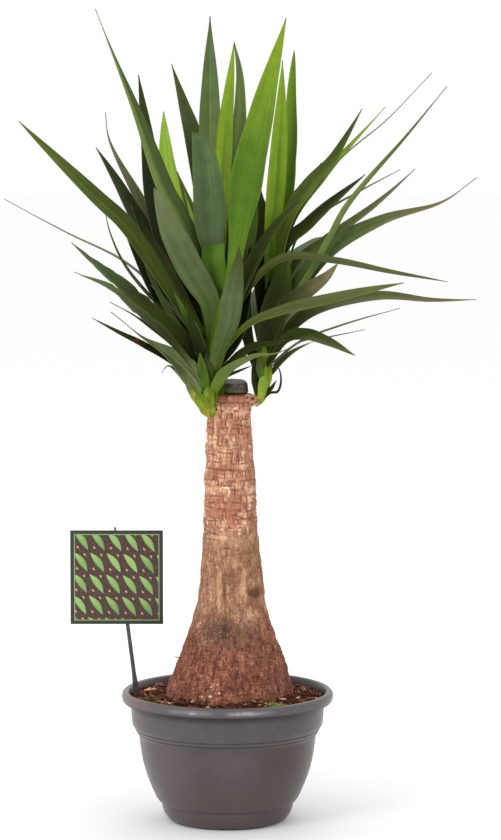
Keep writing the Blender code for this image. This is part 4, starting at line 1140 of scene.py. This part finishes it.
def layBlade(blank, shoot, row, draw):
    rootHeight, width, tilts, widest, slender, names, split, seen, *more = row
    sided = more[0] if more else 0
    late = more[1] if len(more) > 1 else crown["widening"]
    ribbed = {"ribbed": 1.0, "folded": 0.0}.get(names.split()[-1], 0.6)
    root, radius = shootPoint(shoot, rootHeight)
    rest = [seenAt(seen[index:index + 3]) for index in range(0, len(seen), 3)]
    lean = rest[0] - root
    lean.z = 0
    path = smoothCurve([root + lean.normalized() * radius * 0.35, *rest], crown["stations"] + 1)
    facing = Vector((0, -0.3, 1)) if rest[-1].y > crown["farBack"] else Vector((0, -1, 0))
    frames = framesOf(path, facing, 1 if rest[-1].x < root.x else -1, tilts)
    fold = math.radians(crown["fold"] if width > crown["threadWidth"] else crown["threadFold"])
    blade = ownCopy(blank, "blade")
    shade, phase, waves = draw.random(), draw.uniform(0, 6.3), draw.uniform(9, 17)
    tones = []
    for vertex in blade.data.vertices:
        across, share = vertex.co.x, (vertex.co.y + 1) / 2
        here, side, normal = frames[round(share * crown["stations"])]
        full = width / 2 * min(1.0, bladeWidth(min(share, widest), widest, slender, late))
        half = max(width * bladeWidth(share, widest, slender, late), crown["tipWidth"]) / 2
        half *= 1 + 0.02 * math.sin(waves * 1.7 * share + phase + across)
        if names.endswith("ragged"):
            torn = noise.noise(Vector((share * 13, phase, 2 if across > 0 else 7)))
            half *= 1 - 0.32 * ease(0.0, 0.4, torn) * ease(0.25, 0.45, share)
        shift = sided * max(0.0, full - half)
        rise = (math.sqrt(across * across + 0.01) - 0.5) * math.sin(fold)
        ripple = 0.5 * across * across * math.sin(waves * share + phase * 2) * min(1.0, width / 20)
        lying = side * (across * half * math.cos(fold) + shift) + normal * (rise * half + ripple)
        vertex.co = (here + lying) * mm
        # painted light and shade: the left half lighter and the right half darker, on the two sides of the
        # fold
        litHalf = split * ease(0.1, 0.4, share) * (1 - 2 * ease(-0.1, 0.1, across))
        tones.append(toneAt(names, share) * (1 + litHalf))
    tint(blade, "leafTone", tones)
    tint(blade, "leafKind", [(shade, width / 40, ribbed)] * len(tones))
    return blade


def makeShoot(shoot):  # the stem that the leaves stand on: a grid rolled round, closed at both ends
    low, high = shoot[0][0], shoot[-1][0]
    stem = grid("stem", 28, 44)
    tones = []
    for vertex in stem.data.vertices:
        turn, share = math.pi * vertex.co.x, (vertex.co.y + 1) / 2
        middle, radius = shootPoint(shoot, low + (high - low) * share)
        radius *= 0.0 if share < 0.001 or share > 0.999 else 1 + 0.05 * math.sin(5 * turn + 9 * share)
        vertex.co = (middle + Vector((math.cos(turn), math.sin(turn), 0)) * radius) * mm
        # painted shade: the stem darker on its left side and towards its top, within the crown
        tones.append(toneAt("sheath bright night", share) * (0.5 + 0.6 * ease(-0.9, 0.2, math.cos(turn))))
    tint(stem, "leafTone", tones)
    tint(stem, "leafKind", [(0.4, 0.5, 0.6)] * len(tones))
    return fixNormals(stem, 0.00001)


def makeCrown(name, shoot, rows, seed):
    draw = random.Random(seed)
    blank = grid("blank", crown["strips"], crown["stations"])
    blades = [layBlade(blank, shoot, row, draw) for row in rows]
    bpy.data.objects.remove(blank)
    leaves = thicken(joinAs(name, blades), crown["thickness"])
    return smoothAt(joinAs(name, [leaves, makeShoot(shoot)]), 60)


def leafFinish():
    material, place = newFinish("leafSkin", 0.10)
    x, y, z = place.parts()
    tone = place.named("leafTone")
    shade, wide, ribbed = place.named("leafKind").parts("Color", "Color")
    u, v, _ = place.node("ShaderNodeUVMap", {"uv_map": "UVMap"}).parts()
    rib = abs(u * 2.0 - 1.0)

    def lane(acrossScale, alongScale):
        return place.node("ShaderNodeCombineXYZ", inputs={
            "X": u * wide * acrossScale + shade * 40.0, "Y": v * alongScale + shade * 23.0,
            "Z": shade * 11.0})

    def tinted(share, factors):  # the colour so far, times the factors where the share is 1
        return share.mixed(colour, colour.vectorMath("MULTIPLY", factors))

    broad = speckle(lane(7.0, 1.3), 1.0, 3.0, 0.55)
    veins = speckle(lane(34.0, 2.2), 1.0, 2.0, 0.5)
    mottle = speckle(place, 60.0, 4.0, 0.65)
    brightness = (broad - 0.5) * 0.7 + (veins - 0.5) * 0.36 + (mottle - 0.5) * 0.7 + 0.98
    broadLeaf = wide.between(0.3, 0.6)
    ribMask = (1.0 - rib.between(0.02, 0.14)) * broadLeaf
    ribMask *= v.between(0.05, 0.3) * (1.0 - v.between(0.8, 1.0))
    # painted shade along the midrib of folded leaves, in the crease of the fold
    foldShade = (1.0 - rib.between(0.05, 0.34)) * (1.0 - ribbed.between(0.1, 0.5))
    foldShade *= 1.0 - v.between(0.55, 0.95)
    colour = tone.scaled(brightness)
    colour = tinted(broad.between(0.52, 0.76) * 0.45, (1.30, 1.20, 0.78))
    colour = tinted((1.0 - broad).between(0.54, 0.74) * 0.5, (0.78, 0.90, 1.08))
    colour = tinted(ribMask * ribbed.between(0.5, 1.1), (1.5, 1.48, 1.3))
    colour = tinted(foldShade * 0.75, (0.50, 0.66, 0.8))
    spots = speckle(place, 420.0, 3.0, 0.6).between(0.68, 0.75) * mottle.between(0.48, 0.62)
    rustX = (x + 0.0996) / 0.011
    rustZ = (z - 0.5523) / 0.005
    rust = (1.0 - (rustX * rustX + rustZ * rustZ)).between(0.0, 0.7) * mottle.between(0.36, 0.5)
    colour = painted(colour, (rib.between(0.93, 1.0) * broadLeaf * 0.2, (128, 130, 72)),
                     (v.between(0.975, 0.998) * 0.7, (84, 70, 44)), (spots * 0.5, (86, 72, 38)),
                     (rust * 0.85, (98, 54, 28)))
    return dressed(material, colour, broad * 0.22 + mottle * 0.12 + 0.34, veins + broad * 0.6, 0.35, 0.0005)


leafSkin = leafFinish()
leftCrown = makeCrown("leftCrown", crown["leftShoot"], crown["leftLeaves"], 3)
finishPiece(leftCrown, leafSkin, "leaf", "left_head")
rightCrown = makeCrown("rightCrown", crown["rightShoot"], crown["rightLeaves"], 8)
finishPiece(rightCrown, leafSkin, "leaf", "right_head")
print("crowns done")


# label: a square card with a printed leaf pattern, in front of a leaning stake

label = {
    "middle": (-126.0, 8.0, 276.6),
    "size": (105.5, 0.9, 107.8),
    "cell": (15.0, 31.0),
    "slope": 0.62,
    "stakeTop": (-128.0, 334.0),
    "stakeFoot": (-99.8, 110.0),
    "stakeWidth": 4.6,
    "stakeDepth": 2.4,
    "stakeRows": [(0.0, 0.5), (0.07, 1.0), (0.10, 1.75), (0.165, 1.6), (0.25, 1.0), (0.5, 0.94), (0.75, 0.9),
                  (0.975, 0.86), (0.985, 0.5), (1.0, 0.42)],  # how far up, and how wide
}


def makeCard():
    card = fresh("labelCard", bpy.ops.mesh.primitive_cube_add, size=mm,
                 location=Vector(label["middle"]) * mm)
    card.scale = label["size"]
    openMesh(settle(card))
    bpy.ops.mesh.bevel(offset=0.25 * mm, segments=2)
    return smoothAt(card, 40)


def cardFinish():
    material, place = newFinish("printedCard")
    x, y, z = place.parts()
    across = (x - label["middle"][0] * mm) / mm
    up = (z - label["middle"][2] * mm) / mm
    cos, sin = math.cos(label["slope"]), math.sin(label["slope"])
    wide, tall = label["cell"]
    column = (across * cos + up * sin) / wide
    step = column.math("FLOOR")
    row = (up * cos - across * sin) / tall + step * 0.37
    inColumn = column.math("FRACT") - 0.5
    inRow = row.math("FRACT") - 0.5
    chance = place.node("ShaderNodeTexWhiteNoise", {"noise_dimensions": "2D"}, {
        "Vector": place.node("ShaderNodeCombineXYZ", inputs={"X": step, "Y": row.math("FLOOR")})})
    bow = inColumn + (inRow * inRow) * 0.5 - 0.05
    leafWidth = (0.25 - inRow * inRow * 1.3).math("MAXIMUM", 0.0)
    leafShape = (leafWidth - abs(bow)).between(0.0, 0.02)
    vein = (1.0 - abs(bow).between(0.0, 0.03)) * leafShape
    paper = speckle(place.node("ShaderNodeCombineXYZ", inputs={"X": across, "Y": up}), 0.35, 4.0, 0.7)
    green = (inRow + 0.5).mixed(chance.mixed((58, 104, 44), (134, 178, 92)), (150, 186, 104))
    dotX = (abs(inColumn) - 0.5) * wide
    dotZ = (abs(inRow) - 0.5) * tall
    dots = 1.0 - (dotX * dotX + dotZ * dotZ).math("SQRT").between(1.5, 2.0)
    halfWide, halfTall = label["size"][0] / 2, label["size"][2] / 2
    edge = (halfWide - abs(across)).math("MINIMUM", halfTall - abs(up))
    border = edge.between(4.0, 4.3) * (1.0 - edge.between(5.1, 5.4))
    printed = painted(
        paper.between(0.35, 0.68).mixed((46, 30, 24), (88, 58, 46)),
        (leafShape, green), (vein * 0.6, (196, 214, 150)), (dots, (214, 160, 118)),
        (1.0 - edge.between(5.2, 5.5), (38, 40, 28)), (border, (128, 158, 104)))
    front = (label["middle"][1] * mm - 0.0003 - y).between(0.0, 0.00005)
    back = speckle(place, 300.0, 3.0, 0.6).between(0.3, 0.7).mixed((196, 194, 188), (218, 216, 210))
    return dressed(material, front.mixed(back, printed), paper * 0.2 + 0.22, paper, 0.06, 0.0003)


def makeStake():  # extruded upwards from its point, with a wider shoe in the soil and a nub on top
    width, depth, rows = label["stakeWidth"], label["stakeDepth"], label["stakeRows"]
    (footX, footZ), (topX, topZ) = label["stakeFoot"], label["stakeTop"]
    foot = Vector((footX, label["middle"][1] + label["size"][1] / 2 + 0.35 + depth / 2, footZ))
    run = Vector((topX - footX, 0, topZ - footZ))
    stake = fresh("labelStake", bpy.ops.mesh.primitive_plane_add, size=mm, location=foot * mm)
    stake.scale = (width * rows[0][1], depth * rows[0][1], 1)
    openMesh(settle(stake))
    for (below, thin), (above, thick) in zip(rows, rows[1:]):
        bpy.ops.mesh.extrude_region_move(TRANSFORM_OT_translate={"value": run * (above - below) * mm})
        deep = min(1.0, thick / 0.9) / min(1.0, thin / 0.9)
        bpy.ops.transform.resize(value=(thick / thin, deep, 1), center_override=(foot + run * above) * mm)
    bpy.ops.mesh.select_all(action="SELECT")
    bpy.ops.mesh.bevel(offset=0.35 * mm, segments=2)
    return smoothAt(fixNormals(stake, 0.000005), 40)


def stakeFinish():
    material, place = newFinish("stakePlastic")
    cloudy = speckle(place, 110.0, 3.0, 0.6)
    grain = speckle(place, 900.0, 2.0, 0.5, (1.0, 1.0, 0.1))
    colour = cloudy.between(0.3, 0.7).mixed((50, 50, 48), (72, 72, 68))
    return dressed(material, colour, grain * 0.2 + 0.38, grain, 0.2, 0.0004)


finishPiece(makeCard(), cardFinish(), "card", "label_card")
finishPiece(makeStake(), stakeFinish(), "stake_plastic", "label_stake")
print("label done")


# floor, light and camera

studio = {
    "eye": (0.0262, -4.0, 0.90),
    "aim": (0.0262, 0.0, 0.4575),
    "pixelsPerMetre": 885.0,
    "frameHeight": 840,
    "sensor": 36.0,
    "floor": (0.985, 0.985, 0.985),
    "lamps": [  # place, size and power of each soft light
        ((-1.9, -2.3, 2.2), 1.1, 26.0),
        ((1.7, -2.4, 1.9), 0.9, 3.5),
        ((0.3, 1.9, 2.4), 1.6, 10.0),
    ],
}


def makeFloor():
    floor = fresh("studioFloor", bpy.ops.mesh.primitive_plane_add, size=30, location=(0, 0, -0.0006))
    material, _ = newFinish("paleFloor", 0.2)
    shader = material.node_tree.nodes["Principled BSDF"]
    shader.inputs["Base Color"].default_value = (*studio["floor"], 1.0)
    shader.inputs["Roughness"].default_value = 0.95
    floor.data.materials.append(material)
    settle(floor)


def aimed(name, data, spot):  # a lamp or camera at its place, turned to the middle of the view
    holder = bpy.data.objects.new(name, data)
    holder.location = spot
    holder.rotation_euler = (Vector(studio["aim"]) - Vector(spot)).to_track_quat("-Z", "Y").to_euler()
    bpy.context.scene.collection.objects.link(holder)
    return holder


def makeLights():
    for index, (spot, size, power) in enumerate(studio["lamps"]):
        lamp = bpy.data.lights.new(f"softLight{index}", "AREA")
        lamp.shape = "SQUARE"
        lamp.size = size
        lamp.energy = power
        aimed(lamp.name, lamp, spot)
    world = bpy.data.worlds.new("whiteRoom")
    world.use_nodes = True
    sky = world.node_tree.nodes["Background"]
    sky.inputs["Color"].default_value = (1.0, 1.0, 1.0, 1.0)
    sky.inputs["Strength"].default_value = 1.0
    bpy.context.scene.world = world
    bpy.context.scene.view_settings.view_transform = "Standard"


def makeCamera():
    distance = (Vector(studio["aim"]) - Vector(studio["eye"])).length
    lens = bpy.data.cameras.new("photoView")
    lens.sensor_fit = "VERTICAL"
    lens.sensor_height = studio["sensor"]
    lens.lens = studio["pixelsPerMetre"] * distance / studio["frameHeight"] * studio["sensor"]
    bpy.context.scene.camera = aimed(lens.name, lens, studio["eye"])


makeFloor()
makeLights()
makeCamera()
print("studio done")
